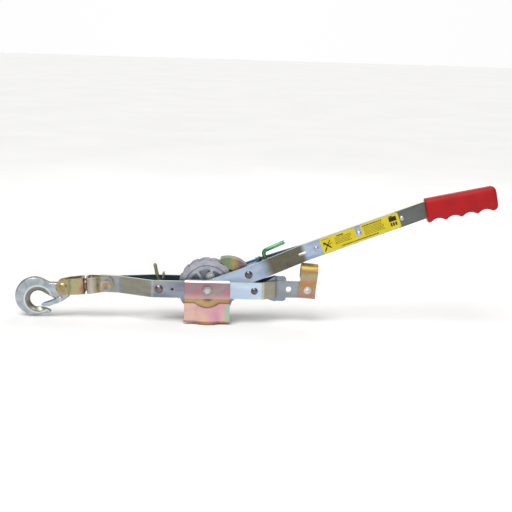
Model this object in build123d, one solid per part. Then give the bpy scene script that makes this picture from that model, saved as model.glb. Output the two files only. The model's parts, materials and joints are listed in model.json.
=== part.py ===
"""Rope-type come-along winch: strap frame, rope wheel, lever handle, two pawls and a swivel hook.

Millimetres. +X runs along the frame towards the grip, +Y to the far side, +Z up.
The origin is the wheel's axle centre, midway between the two frame straps.
"""
from build123d import *
from math import acos, atan2, cos, degrees, hypot, radians, sin, tan
import os

# ---------------------------------------------------------------- clearances
RUN = 0.05            # radial clearance of a pin in a turning piece
SIDE = 0.30           # side gap between pieces that turn past each other
TIP_GAP = 0.35        # gap between a pawl's tip and the circle of the wheel's crests

# ---------------------------------------------------------------- frame straps
STRAP_T = 4.0         # thickness of the flat bar
STRAP_H = 25.4        # one inch bar
FRAME_GAP = 40.0      # between the inner faces of the two frame straps
NOSE_END_X = -163.0
NOSE_BEND_X = -133.0
SPLAY_END_X = -83.0
NOSE_RISE = 2.2       # the nose end stands this much higher than the straight part
REAR_BEND_X = 82.0
TAIL_BEND_X = 106.0
FAR_TAIL_X = 119.0
TAIL_END_X = 162.4
BEND_R = 7.0
STRAP_CORNER = 3.0
GUSSET_T = 1.5
GUSSET_H = 38.0
GUSSET_START_X = 88.0
GUSSET_FLAT_X = 101.0
GUSSET_CORNER = 5.0
GUSSET_SLACK = 0.06   # the gusset's slope stands this far off the strap's, along the frame
EYE_X = 122.7
EYE_R = 4.2
SPARE_HOLE_X = -52.5
SPARE_HOLE_R = 2.4

# ---------------------------------------------------------------- bolts, nuts and rivets
AXLE_R = 6.35         # shouldered middle of the axle
STUD_R = 4.0          # threaded ends of the axle, and the nose bolt
NUT_AF = 13.0
NUT_T = 6.0
NUT_SIDES = 6
NUT_ROUND = 0.985     # share of the corner radius left by the nut's chamfer
STUD_PROUD = 1.5
WASHER_R = 8.0
WASHER_T = 1.5
HOLD_PIN_X = -72.0
HOLD_PIN_R = 4.0
HOLD_HEAD_R = 6.2
REAR_RIVET_X = 70.4
REAR_RIVET_R = 4.0
REAR_HEAD_R = 5.3
HEAD_T = 3.0
SPACER_WALL = 2.2

# ---------------------------------------------------------------- rope wheel
CREST_R = 43.8
NOTCH_DEPTH = 1.6
TEETH = 16
NOTCH_SHARE = 0.45    # part of each tooth pitch that is ramp
WALL_ANGLE = 87.0     # angle of one tooth's steep wall above +X
WHEEL_W = 20.0        # over the two rims
RIM_EDGE = 3.8        # thickness of a rim at its crest
GROOVE_R = 29.0
GROOVE_FLAT = 4.0
FACE_R = 34.7
FACE_DROP = 1.2
HUB_R = 11.6
HUB_W = 26.0
BUSH_WALL = 2.6
POCKET_OUT_R = 28.5
POCKET_IN_R = 13.4
POCKET_DEPTH = 4.3
RIB_W = 4.2
RIBS = 8
RIB_ANGLE = 77.5
POCKET_CORNER = 1.8
BOSS_R = 6.6
BOSS_AT_R = 18.4
WHEEL_RIVET_R = 2.8
WHEEL_RIVETS = 4
WHEEL_RIVET_RIM = 1.3
WHEEL_RIVET_RIM_T = 0.9
WHEEL_RIVET_WALL = 1.0

# ---------------------------------------------------------------- rope guards
GUARD_W = 68.0
GUARD_T = 2.0
GUARD_STEP_OUT = 4.0
GUARD_STEP_H = 5.0
GUARD_DEPTH = 48.0    # bottom edge below the axle
RIB_BULGE_W = 31.0
RIB_BULGE = 6.0
RIB_DROP = 3.0
GUARD_STEP_BELOW = 1.0    # the step starts this far below the strap
CUT_OVER = 0.1        # how far a cutting body runs past the rib's side

# ---------------------------------------------------------------- handle
HANDLE_ANGLE = 21.3   # stored angle above +X
HANDLE_PARALLEL = 87.7
HANDLE_JOIN = 155.4
HANDLE_BEND = 350.0
HANDLE_BEND_R = 70.0
GRIP_ANGLE = 9.0      # the grip droops by this angle
STRAP_IN_GRIP = 96.0
SLOT_AT = 152.0
SLOT_L = 13.0
SLOT_W = 4.0
HANDLE_RIVETS_AT = (174.2, 242.3, 310.3)
HANDLE_RIVET_R = 2.4
HANDLE_RIVET_HEAD_R = 3.6
HANDLE_RIVET_HEAD_T = 1.8
LABEL_FROM = 182.7
LABEL_TO = 306.2
LABEL_H = 23.4
LABEL_T = 0.4
LABEL_CORNER = 3.0
LABEL_NOTCH_W = 9.4
LABEL_NOTCH_DEEP = 16.5

# ---------------------------------------------------------------- grip
GRIP_START = 1.0
GRIP_END = 109.0
GRIP_WALL_TOP = 3.6
GRIP_RIDGE = 7.9      # bottom wall at a finger ridge
GRIP_VALLEY = 3.8     # bottom wall at a finger valley
GRIP_SIDE_WALL = 7.0
GRIP_CORNER = 7.0
GRIP_START_CORNER = 2.3
GRIP_EDGE = 6.0
GRIP_EDGE_OUT = 0.6   # the rounded section stands this far above and below the outline
FINGERS = 4
FINGER_PITCH = 24.1
FINGER_FIRST = 16.5
FINGER_CHORD = 0.47   # half width of a finger valley, as a share of the pitch

# ---------------------------------------------------------------- drive pawl
PAWL_AT = 65.8        # pivot's distance along the handle
PAWL_PIN_R = 4.0
PAWL_PIN_HEAD_R = 5.9
PAWL_HALF_W = 11.0
PAWL_T = 3.0
PAWL_EAR_R = 8.0
PAWL_TIP_ANGLE = 45.0     # tip's angle above the handle, seen from the axle
PAWL_TIP_TALL = 5.5
PAWL_CREST = (48.5, 31.5)     # highest part of the dome, along and above the handle
PAWL_BACK = (67.5, 12.0)
PAWL_TAIL_TO = 102.0
PAWL_TAIL_Z = 11.0
PAWL_TAIL_HALF_W = 7.5
PAWL_LUG = (82.5, 91.0, 6.0)      # spring lug on the tail: from, to, height
LEVER_R = 2.9
LEVER_AT = 97.0
LEVER_UP = 23.0
LEVER_TO = (132.5, 25.4)
LEVER_BEND_R = 6.0
SPRING_WIRE = 1.8
SPRING_LEG_R = 0.72
DRIVE_LEG = 18.0

# ---------------------------------------------------------------- holding pawl
HOLD_HALF_W = 10.0
HOLD_HUB_R = 7.2
HOLD_TIP_ANGLE = 198.0
HOLD_TIP_T = 7.0
HOLD_ARM_HALF = 6.1   # half height of the arm where it meets the hub
HOLD_COIL_W = 6.0
HOLD_LEG_SHORT = 5.0  # the spring's leg ends this far below the lug's top
HOLD_LUG_X = 7.5
HOLD_LUG_Z = 21.0
HOLD_LUG_T = 3.2
TRIGGER_R = 2.65
TRIGGER_TOP = (-7.4, 32.0)    # from the pivot
TRIGGER_FOOT_R = 3.4
TRIGGER_FOOT_H = 4.0
TRIGGER_FOOT_UP = 3.0     # the foot's middle above the hub
TRIGGER_ROOT = 0.8    # wall left between the stem's end and the pin hole

# ---------------------------------------------------------------- brackets and swivel
NOSE_BOLT_FROM_END = 10.4
BRACKET_PITCH = 5.4   # the hook hangs below the frame's line by this angle
BRACKET_T = 3.0
BRACKET_H = 24.0
BRACKET_WEB_HALF_W = 13.0
BRACKET_BEND_R = 1.8
LEG_FOOT = 2 / 3      # where a leg meets the web's width, as a share of the way to the web
FRAME_WEB_AT = 28.6   # outer face of the frame bracket's web from the nose bolt
FRAME_BRACKET_BEND = 11.2
WEB_GAP = 3.4
HOOK_BRACKET_L = 32.3     # hook bracket's web face to the hook pin
HOOK_EAR_BEND = 12.0      # bend's distance from the hook pin
HOOK_EAR_R = 10.5
SWIVEL_R = 4.75
SWIVEL_HEAD_R = 8.0
SWIVEL_HEAD_T = 4.0
SWIVEL_WASHER_R = 9.5

# ---------------------------------------------------------------- hook and latch
HOOK_T = 12.0
HOOK_EAR_SLOP = 1.9   # loose fit of the hook in its bracket, each side
HOOK_PIN_R = 4.75
HOOK_PIN_HEAD_R = 6.9
HOOK_PIN_HEAD_T = 2.8
HOOK_EYE_R = 10.2
HOOK_OUT_R = 29.4
HOOK_OUT_AT = (-42.6, -15.8)      # from the hook pin
HOOK_BOWL_R = 12.5
HOOK_BOWL_AT = (-37.4, -19.9)
HOOK_TIP = ((-36.0, -44.2), (-27.4, -42.0), (-20.2, -41.4), (-17.7, -38.6), (-19.0, -36.4),
            (-24.0, -34.2), (-34.0, -31.6), (-42.0, -40.0))
HOOK_SHANK = ((-38.0, 10.6), (-30.0, 10.9), (-24.6, 8.0), (-20.0, 5.9), (-9.6, 6.0), (-2.0, 9.9),
              (-1.0, -10.0), (-12.2, -18.8), (-34.0, -7.0), (-46.0, -6.0))
HOOK_LOBE = ((-12.6, -19.0), (-7.6, -23.4), (-2.6, -23.6), (9.6, -14.8), (9.9, -2.0), (-6.0, -2.0))
MOUTH_TOP = (4.0, 11.9)       # start of the mouth from the bowl's centre
MOUTH_LOW = (3.6, -12.0)      # end of the mouth from the bowl's centre
MOUTH_LINE = ((-12.0, -19.1), (-7.4, -28.6), (-14.5, -36.8), (-19.0, -36.4), (-24.0, -34.2))
LATCH_PIVOT = (-4.5, -18.4)
LATCH_L = 29.6
LATCH_DROP = 22.6
LATCH_T = 1.6
LATCH_SIDE_T = 1.1
LATCH_PLATE_FROM = 12.0
LATCH_SIDE_TO = 17.0
LATCH_EAR_R = 4.2
LATCH_RIVET_R = 2.2
LATCH_RIVET_HEAD_R = 3.4
LATCH_RIVET_HEAD_T = 1.2

# ---------------------------------------------------------------- curled rope guide
GUIDE_X = 151.0
GUIDE_W = 25.4
GUIDE_T = 3.0
GUIDE_BELOW = 12.6
GUIDE_STRAIGHT = 7.0
GUIDE_TUBE_R = 13.0   # outside of the curl
GUIDE_TUBE_UP = 27.2
GUIDE_TUBE_BACK = 5.0     # curl's centre behind the plate's middle
GUIDE_TILT = 4.0
GUIDE_END_ANGLE = -62.0
GUIDE_RIVET_R = 3.4
GUIDE_RIVET_HEAD_R = 5.7
GUIDE_RIVET_BORE_R = 2.4
GUIDE_RIVET_HEAD_T = 1.6

# ---------------------------------------------------------------- worked-out values
FRAME_IN = FRAME_GAP / 2
FRAME_OUT = FRAME_IN + STRAP_T
FRAME_MID = FRAME_IN + STRAP_T / 2
HALF_H = STRAP_H / 2
TAIL_MID = GUSSET_T + STRAP_T / 2
TAIL_FACE = GUSSET_T + STRAP_T
TAIL_SLOPE = atan2(FRAME_MID - TAIL_MID, TAIL_BEND_X - REAR_BEND_X)
GUSSET_OFF = (STRAP_T + GUSSET_T) / 2     # between the middles of the strap and its gusset
GUSSET_LEAD = GUSSET_OFF * tan(TAIL_SLOPE / 2) + GUSSET_SLACK
GUARD_OUT = FRAME_OUT + GUARD_T
HANDLE_OUT = FRAME_IN - SIDE
HANDLE_IN = HANDLE_OUT - STRAP_T
HANDLE_MID = HANDLE_OUT - STRAP_T / 2
PAWL_CLEAR_R = CREST_R + TIP_GAP
NOSE_BOLT_X = NOSE_END_X + NOSE_BOLT_FROM_END
NOSE_BOLT_Z = NOSE_RISE * (SPLAY_END_X - NOSE_BOLT_X) / (SPLAY_END_X - NOSE_END_X)
LEG_IN = STRAP_T + SIDE
LEG_OUT = LEG_IN + BRACKET_T
HOOK_WEB_AT = FRAME_WEB_AT + WEB_GAP
HOOK_PIN_AT = HOOK_WEB_AT + HOOK_BRACKET_L
HOOK_EAR_IN = HOOK_T / 2 + HOOK_EAR_SLOP
HOOK_EAR_OUT = HOOK_EAR_IN + BRACKET_T
BUSH_R = AXLE_R + RUN + BUSH_WALL
REACH = 200.0         # longer than any cut needs
SLAB_HALF = 60.0      # half width of a body before it is cut to its outline


# ---------------------------------------------------------------- shared shapes
def rod_y(x, z, radius, y_from, y_to):
    """Round bar along Y between two depths."""
    return Pos(x, (y_from + y_to) / 2, z) * Rot(90, 0, 0) * Cylinder(radius, abs(y_to - y_from))


def tube_y(x, z, outer, inner, y_from, y_to):
    return rod_y(x, z, outer, y_from, y_to) - rod_y(x, z, inner, y_from, y_to)


def dome_y(x, z, radius, height, y_face, way):
    """Domed rivet head on the face y_face; way is +1 or -1 along Y."""
    ball = (radius ** 2 + height ** 2) / (2 * height)
    lean = acos((ball - height) / ball) / 2
    high = (ball * sin(lean), height - ball + ball * cos(lean))
    edge = Line((0, 0), (radius, 0)) + ThreePointArc((radius, 0), high, (0, height))
    head = revolve(make_face(edge + Line((0, height), (0, 0))), axis=Axis.Y)
    if way < 0:
        head = mirror(head, about=Plane.XZ)
    return Pos(x, y_face, z) * head


def nut_y(x, z, bore, y_from, y_to):
    """Hexagon nut along Y with a chamfered outer rim."""
    thick = abs(y_to - y_from)
    corner = NUT_AF / 2 / cos(radians(180 / NUT_SIDES))
    body = extrude(RegularPolygon(corner, NUT_SIDES), thick / 2, both=True)
    body &= extrude(Circle(corner * NUT_ROUND), thick / 2, both=True)
    if bore:
        body -= Cylinder(bore, thick + 1)
    return Pos(x, (y_from + y_to) / 2, z) * Rot(90, 0, 0) * body


def plan_bar(points, thickness, bend_radius, half_height=SLAB_HALF):
    """Upright bar that follows a bent line seen from above."""
    line = FilletPolyline(*points, radius=bend_radius)
    return extrude(trace(line, thickness), half_height, both=True)


def side_slab(face, half_width=SLAB_HALF):
    """Slab across Y whose outline is drawn in X and Z."""
    return extrude(Plane.XZ * face, half_width, both=True)


def polygon(*points):
    return make_face(Polyline(*points, close=True))


def mirrored(shape):
    return mirror(shape, about=Plane.XZ)


def on_handle(shape):
    """Place a shape drawn along +X at the handle's stored angle."""
    return Rot(0, -HANDLE_ANGLE, 0) * shape


def on_bracket_line(shape):
    """Place a shape drawn from the nose bolt towards -X on the hanging bracket line."""
    return Pos(NOSE_BOLT_X, 0, NOSE_BOLT_Z) * Rot(0, -BRACKET_PITCH, 0) * shape


def hook_pin_place():
    pitch = radians(BRACKET_PITCH)
    return (NOSE_BOLT_X - HOOK_PIN_AT * cos(pitch), NOSE_BOLT_Z - HOOK_PIN_AT * sin(pitch))


# ---------------------------------------------------------------- frame
def strap_outline(end_x):
    """Side outline of a frame strap; its nose end rises a little."""
    outline = polygon(
        (NOSE_END_X, NOSE_RISE - HALF_H), (SPLAY_END_X, -HALF_H), (end_x, -HALF_H),
        (end_x, HALF_H), (SPLAY_END_X, HALF_H), (NOSE_END_X, NOSE_RISE + HALF_H))
    ends = outline.vertices().sort_by(Axis.X)
    return fillet(ends[:2] + ends[-2:], STRAP_CORNER)


def frame_strap(end_x):
    """Near frame strap up to end_x, with its holes."""
    nose = STRAP_T / 2
    line = [(NOSE_END_X - 1, -nose), (NOSE_BEND_X, -nose), (SPLAY_END_X, -FRAME_MID),
            (REAR_BEND_X, -FRAME_MID), (TAIL_BEND_X, -TAIL_MID), (TAIL_END_X + 1, -TAIL_MID)]
    strap = plan_bar(line, STRAP_T, BEND_R) & side_slab(strap_outline(end_x))
    strap -= rod_y(0, 0, STUD_R + RUN, -REACH, 0)
    strap -= rod_y(HOLD_PIN_X, 0, HOLD_PIN_R, -REACH, 0)
    strap -= rod_y(REAR_RIVET_X, 0, REAR_RIVET_R, -REACH, 0)
    strap -= rod_y(SPARE_HOLE_X, 0, SPARE_HOLE_R, -REACH, 0)
    strap -= rod_y(NOSE_BOLT_X, NOSE_BOLT_Z, STUD_R, -REACH, 0)
    return strap


def near_frame_strap():
    strap = frame_strap(TAIL_END_X)
    strap -= rod_y(EYE_X, 0, EYE_R, -REACH, 0)
    return strap - rod_y(GUIDE_X, 0, GUIDE_RIVET_R, -REACH, 0)


def far_frame_strap():
    return mirrored(frame_strap(FAR_TAIL_X))


def rear_gusset():
    """Thin plate welded inside the near strap's rear bend, taller than the strap."""
    half = GUSSET_H / 2
    inner = FRAME_MID - GUSSET_OFF
    line = [(REAR_BEND_X - GUSSET_CORNER, -inner), (REAR_BEND_X - GUSSET_LEAD, -inner),
            (TAIL_BEND_X - GUSSET_LEAD, -GUSSET_T / 2), (FAR_TAIL_X + GUSSET_CORNER, -GUSSET_T / 2)]
    outline = polygon((GUSSET_START_X, -HALF_H), (GUSSET_FLAT_X, -half), (FAR_TAIL_X, -half),
                      (FAR_TAIL_X, half), (GUSSET_FLAT_X, half), (GUSSET_START_X, HALF_H))
    outline = fillet(outline.vertices().sort_by(Axis.X)[-2:], GUSSET_CORNER)
    return plan_bar(line, GUSSET_T, BEND_R - GUSSET_OFF) & side_slab(outline)


def guard_profile():
    """Guard's section across the frame: fold, upper panel, step, lower panel."""
    top = HALF_H + GUARD_T
    step_top = -HALF_H - GUARD_STEP_BELOW
    step_low = step_top - GUARD_STEP_H
    return [(-FRAME_IN, top - GUARD_T / 2), (-GUARD_OUT + GUARD_T / 2, top - GUARD_T / 2),
            (-GUARD_OUT + GUARD_T / 2, step_top),
            (-GUARD_OUT + GUARD_T / 2 - GUARD_STEP_OUT, step_low),
            (-GUARD_OUT + GUARD_T / 2 - GUARD_STEP_OUT, -GUARD_DEPTH - RIB_DROP)]


def below_step(inset):
    """Everything below the guard's sloping step, carried on outwards; inset moves it inwards."""
    out = -GUARD_OUT + inset
    top = -HALF_H - GUARD_STEP_BELOW - inset
    run = REACH * GUARD_STEP_OUT / GUARD_STEP_H
    area = polygon((out, top), (out, -REACH), (out - run, -REACH), (out - run, top - REACH))
    return extrude(Plane.YZ * area, REACH, both=True)


def guard_rib(inset):
    """Half-round rib down the guard's middle, closed above by the sloping step."""
    out = -GUARD_OUT - GUARD_STEP_OUT
    half = RIB_BULGE_W / 2
    radius = (half ** 2 + RIB_BULGE ** 2) / (2 * RIB_BULGE)
    tall = GUARD_DEPTH + RIB_DROP
    bar = Pos(0, out + radius - RIB_BULGE, -tall / 2) * Cylinder(radius - inset, tall + inset)
    front = Pos(0, out - REACH / 2 + inset, -tall / 2) * Box(RIB_BULGE_W, REACH, tall + inset)
    return bar & front & below_step(inset)


def rope_guard():
    """Pressed sheet guard over the near strap, with a half-round rib down its middle."""
    sheet = extrude(Plane.YZ * trace(Polyline(*guard_profile()), GUARD_T), GUARD_W / 2, both=True)
    guard = sheet + guard_rib(0) - guard_rib(GUARD_T)
    side_w = (GUARD_W - RIB_BULGE_W) / 2
    for way in (-1, 1):
        guard -= Pos(way * (RIB_BULGE_W + side_w) / 2, 0, -GUARD_DEPTH - REACH / 2) * Box(
            side_w + 2 * CUT_OVER, REACH, REACH)
    return guard - rod_y(0, 0, STUD_R + RUN, -REACH, 0)


def axle():
    """Shouldered axle with a threaded stud at each end."""
    end = GUARD_OUT + NUT_T + STUD_PROUD
    return rod_y(0, 0, AXLE_R, -FRAME_IN, FRAME_IN) + rod_y(0, 0, STUD_R, -end, end)


def axle_nuts():
    near = nut_y(0, 0, STUD_R, -GUARD_OUT - NUT_T, -GUARD_OUT)
    return Compound([near, mirrored(near)])


def axle_spacers():
    """Rings that keep the handle straps off the wheel's hub."""
    low = HUB_W / 2 + SIDE / 2
    near = tube_y(0, 0, BUSH_R, AXLE_R + RUN, -HANDLE_IN + SIDE / 2, -low)
    return Compound([near, mirrored(near)])


def domed_pin(x, z, radius, head_r, face):
    pin = rod_y(x, z, radius, -face, face)
    pin += dome_y(x, z, head_r, HEAD_T, face, 1)
    return pin + dome_y(x, z, head_r, HEAD_T, -face, -1)


def rear_spacer():
    return tube_y(REAR_RIVET_X, 0, REAR_RIVET_R + SPACER_WALL, REAR_RIVET_R, -FRAME_IN, FRAME_IN)


def nose_bolt():
    head = nut_y(NOSE_BOLT_X, NOSE_BOLT_Z, 0, LEG_OUT + SIDE, LEG_OUT + SIDE + NUT_T)
    end = LEG_OUT + SIDE + WASHER_T + NUT_T + STUD_PROUD
    return head + rod_y(NOSE_BOLT_X, NOSE_BOLT_Z, STUD_R, -end, LEG_OUT + SIDE)


def nose_washer():
    face = LEG_OUT + SIDE
    return tube_y(NOSE_BOLT_X, NOSE_BOLT_Z, WASHER_R, STUD_R, -face - WASHER_T, -face)


def nose_nut():
    face = LEG_OUT + SIDE + WASHER_T
    return nut_y(NOSE_BOLT_X, NOSE_BOLT_Z, STUD_R, -face - NUT_T, -face)


# ---------------------------------------------------------------- curled rope guide
def guide_line():
    """Line of the guide's sheet seen from the end: up, out to the near side, and round."""
    plate_y = -TAIL_FACE - SIDE / 2 - GUIDE_T / 2
    centre = (plate_y + GUIDE_TUBE_BACK, GUIDE_TUBE_UP)
    mid_r = GUIDE_TUBE_R - GUIDE_T / 2
    knee = (plate_y, GUIDE_STRAIGHT)
    away = hypot(centre[0] - knee[0], centre[1] - knee[1])
    bearing = atan2(knee[1] - centre[1], knee[0] - centre[0])
    touch = bearing - acos(mid_r / away)
    touch_at = (centre[0] + mid_r * cos(touch), centre[1] + mid_r * sin(touch))
    start = degrees(touch)
    sweep_by = -(360 + start - GUIDE_END_ANGLE) if start < GUIDE_END_ANGLE else GUIDE_END_ANGLE - start
    return (Line((plate_y, -GUIDE_BELOW), knee) + Line(knee, touch_at)
            + CenterArc(centre, mid_r, start, sweep_by))


def rope_guide():
    """Strip riveted to the tongue and curled over into an open tube for the rope."""
    sheet = extrude(Plane.YZ * trace(guide_line(), GUIDE_T), GUIDE_W / 2, both=True)
    sheet -= rod_y(0, 0, GUIDE_RIVET_R + RUN, -REACH, REACH)
    return Pos(GUIDE_X, 0, 0) * Rot(0, GUIDE_TILT, 0) * sheet


def guide_rivet():
    """Tubular rivet with a rolled near rim."""
    front = TAIL_FACE + SIDE + GUIDE_T
    rivet = rod_y(GUIDE_X, 0, GUIDE_RIVET_R, -front, -GUSSET_T)
    rivet += rod_y(GUIDE_X, 0, GUIDE_RIVET_HEAD_R, -front - GUIDE_RIVET_HEAD_T, -front)
    rivet += rod_y(GUIDE_X, 0, GUIDE_RIVET_HEAD_R, -GUSSET_T, -GUSSET_T + GUIDE_RIVET_HEAD_T)
    return rivet - rod_y(GUIDE_X, 0, GUIDE_RIVET_BORE_R, -REACH, REACH)


# ---------------------------------------------------------------- rope wheel
def notch():
    """One ratchet notch: a ramp down from the crest to a steep wall."""
    pitch = radians(360 / TEETH)
    wall = radians(WALL_ANGLE)
    ramp_top = wall - pitch * NOTCH_SHARE
    root = CREST_R - NOTCH_DEPTH
    out = CREST_R + NOTCH_DEPTH
    points = [(CREST_R * cos(ramp_top), CREST_R * sin(ramp_top)), (root * cos(wall), root * sin(wall)),
              (out * cos(wall), out * sin(wall)), (out * cos(ramp_top), out * sin(ramp_top))]
    return side_slab(polygon(*points))


def pockets():
    """Lightening pockets between the ribs, as one set of cutters in the wheel's plane."""
    ring = Circle(POCKET_OUT_R) - Circle(POCKET_IN_R)
    for index in range(RIBS // 2):
        ring -= Rot(0, 0, RIB_ANGLE + index * 360 / RIBS) * Rectangle(2 * FACE_R, RIB_W)
    return fillet(ring.vertices(), POCKET_CORNER)


def boss_places():
    for index in range(WHEEL_RIVETS):
        angle = radians(RIB_ANGLE + index * 360 / WHEEL_RIVETS)
        yield BOSS_AT_R * cos(angle), BOSS_AT_R * sin(angle)


def wheel_half():
    """Near half of the cast wheel: rim, half of the rope groove, web, ribs and hub."""
    face = WHEEL_W / 2
    recess = face - FACE_DROP
    profile = polygon((BUSH_R, 0), (GROOVE_R, 0), (GROOVE_R, -GROOVE_FLAT / 2),
                      (CREST_R, -face + RIM_EDGE), (CREST_R, -face), (FACE_R, -face), (FACE_R, -recess),
                      (HUB_R, -recess), (HUB_R, -HUB_W / 2), (BUSH_R, -HUB_W / 2))
    half = revolve(profile, axis=Axis.Y)
    for index in range(TEETH):
        half -= Rot(0, index * 360 / TEETH, 0) * notch()
    half -= Pos(0, -recess + POCKET_DEPTH, 0) * extrude(Plane.XZ * pockets(), REACH)
    for x, z in boss_places():
        half += rod_y(x, z, BOSS_R, -recess, -recess + POCKET_DEPTH + 1)
    for x, z in boss_places():
        half -= rod_y(x, z, WHEEL_RIVET_R, -REACH, REACH)
    return half


def wheel_bush():
    return tube_y(0, 0, BUSH_R, AXLE_R + RUN, -HUB_W / 2, HUB_W / 2)


def wheel_rivets():
    """Hollow rivets that hold the two wheel halves together."""
    face = WHEEL_W / 2 - FACE_DROP
    rivets = []
    for x, z in boss_places():
        rivet = rod_y(x, z, WHEEL_RIVET_R, -face, face)
        for way in (-1, 1):
            rivet += rod_y(x, z, WHEEL_RIVET_R + WHEEL_RIVET_RIM, way * face,
                           way * (face + WHEEL_RIVET_RIM_T))
        rivets.append(rivet - rod_y(x, z, WHEEL_RIVET_R - WHEEL_RIVET_WALL, -REACH, REACH))
    return Compound(rivets)


# ---------------------------------------------------------------- handle
def handle_outline():
    """Side outline of a handle strap: round end, straight bar, drooping end inside the grip."""
    droop = radians(GRIP_ANGLE)
    end = (HANDLE_BEND + STRAP_IN_GRIP * cos(droop), -STRAP_IN_GRIP * sin(droop))
    line = FilletPolyline((0, 0), (HANDLE_BEND, 0), end, radius=HANDLE_BEND_R)
    return trace(line, STRAP_H) + Circle(HALF_H)


def near_handle_strap():
    line = [(-STRAP_H, -HANDLE_MID), (HANDLE_PARALLEL, -HANDLE_MID),
            (HANDLE_JOIN, -STRAP_T / 2), (HANDLE_BEND + STRAP_IN_GRIP + STRAP_H, -STRAP_T / 2)]
    strap = plan_bar(line, STRAP_T, BEND_R) & side_slab(handle_outline())
    strap -= rod_y(0, 0, AXLE_R + RUN, -REACH, 0)
    strap -= rod_y(PAWL_AT, 0, PAWL_PIN_R, -REACH, 0)
    strap -= side_slab(Pos(SLOT_AT, 0) * SlotOverall(SLOT_L, SLOT_W))
    for at in HANDLE_RIVETS_AT:
        strap -= rod_y(at, 0, HANDLE_RIVET_R, -REACH, REACH)
    return strap


def handle_rivets():
    rivets = []
    for at in HANDLE_RIVETS_AT:
        rivet = rod_y(at, 0, HANDLE_RIVET_R, -STRAP_T, STRAP_T)
        for way in (-1, 1):
            rivet += dome_y(at, 0, HANDLE_RIVET_HEAD_R, HANDLE_RIVET_HEAD_T, way * STRAP_T, way)
        rivets.append(rivet)
    return Compound(rivets)


def handle_label():
    """Thin sticker on the near strap, notched round the middle rivet."""
    plate = Pos((LABEL_FROM + LABEL_TO) / 2, 0) * RectangleRounded(
        LABEL_TO - LABEL_FROM, LABEL_H, LABEL_CORNER)
    notch_mid = LABEL_H / 2 - LABEL_NOTCH_DEEP / 2
    middle = HANDLE_RIVETS_AT[1]
    plate -= Pos(middle, notch_mid + LABEL_CORNER) * RectangleRounded(
        LABEL_NOTCH_W, LABEL_NOTCH_DEEP + 2 * LABEL_CORNER, LABEL_CORNER)
    return Pos(0, -STRAP_T, 0) * extrude(Plane.XZ * plate, LABEL_T)


def grip_outline():
    """Side outline of the grip: straight back, four finger valleys below."""
    top = HALF_H + GRIP_WALL_TOP
    ridge = HALF_H + GRIP_RIDGE
    depth = GRIP_RIDGE - GRIP_VALLEY
    body = polygon((GRIP_START, -ridge), (GRIP_END, -ridge), (GRIP_END, top), (GRIP_START, top))
    corners = body.vertices().sort_by(Axis.X)
    body = fillet(corners[-2:], GRIP_CORNER)
    body = fillet(body.vertices().sort_by(Axis.X)[:2], GRIP_START_CORNER)
    chord = FINGER_PITCH * FINGER_CHORD
    scoop_r = (chord ** 2 + depth ** 2) / (2 * depth)
    for index in range(FINGERS):
        body -= Pos(FINGER_FIRST + index * FINGER_PITCH, -ridge + depth - scoop_r) * Circle(scoop_r)
    return body


def grip_place():
    return Pos(HANDLE_BEND, 0, 0) * Rot(0, GRIP_ANGLE, 0)


def grip():
    """Moulded grip over the strap ends."""
    half = STRAP_T + GRIP_SIDE_WALL
    top = HALF_H + GRIP_WALL_TOP + GRIP_EDGE_OUT
    low = -HALF_H - GRIP_RIDGE - GRIP_EDGE_OUT
    section = Plane.YZ * Pos(0, (top + low) / 2) * RectangleRounded(2 * half, top - low, GRIP_EDGE)
    body = side_slab(grip_outline(), half) & extrude(section, REACH)
    return grip_place() * body - side_slab(handle_outline(), STRAP_T)


# ---------------------------------------------------------------- drive pawl
def pawl_tip(radius):
    angle = radians(PAWL_TIP_ANGLE)
    return (radius * cos(angle), radius * sin(angle))


def pawl_side():
    """Side outline of the drive pawl, domed above and cut to clear the wheel below."""
    tip = pawl_tip(PAWL_CLEAR_R - 2)
    brow = pawl_tip(PAWL_CLEAR_R + PAWL_TIP_TALL)
    low = (PAWL_AT - PAWL_EAR_R, -2)
    edge = (ThreePointArc(brow, PAWL_CREST, PAWL_BACK) + Line(PAWL_BACK, (PAWL_AT + PAWL_EAR_R, 0))
            + Line((PAWL_AT + PAWL_EAR_R, 0), low) + Line(low, tip) + Line(tip, brow))
    return make_face(edge) + Pos(PAWL_AT, 0) * Circle(PAWL_EAR_R)


def drive_pawl():
    """Pressed channel: two ears on the pivot, a domed top with the tip, and a flat tail."""
    shell = side_slab(pawl_side(), PAWL_HALF_W)
    core = offset(pawl_side(), -PAWL_T)
    roof = PAWL_TAIL_Z - PAWL_T - SIDE
    open_low = Pos(PAWL_AT, roof - PAWL_AT / 2) * Rectangle(2 * (PAWL_EAR_R + PAWL_T), PAWL_AT)
    shell -= side_slab(core + open_low, PAWL_HALF_W - PAWL_T)
    tail = polygon((PAWL_AT, PAWL_TAIL_Z - PAWL_T), (PAWL_TAIL_TO, PAWL_TAIL_Z - PAWL_T),
                   (PAWL_TAIL_TO, PAWL_TAIL_Z), (PAWL_AT, PAWL_TAIL_Z))
    lug_from, lug_to, lug_h = PAWL_LUG
    lug = Pos((lug_from + lug_to) / 2, 0, PAWL_TAIL_Z + lug_h / 2 - 0.5) * Box(
        lug_to - lug_from, PAWL_TAIL_HALF_W, lug_h + 1)
    pawl = shell + side_slab(tail, PAWL_TAIL_HALF_W) + lug
    pawl -= rod_y(0, 0, PAWL_CLEAR_R, -REACH, REACH)
    pawl -= rod_y(PAWL_AT, 0, PAWL_PIN_R + RUN, -REACH, REACH)
    return pawl - Pos(LEVER_AT, 0, 0) * Cylinder(LEVER_R, REACH)


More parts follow.
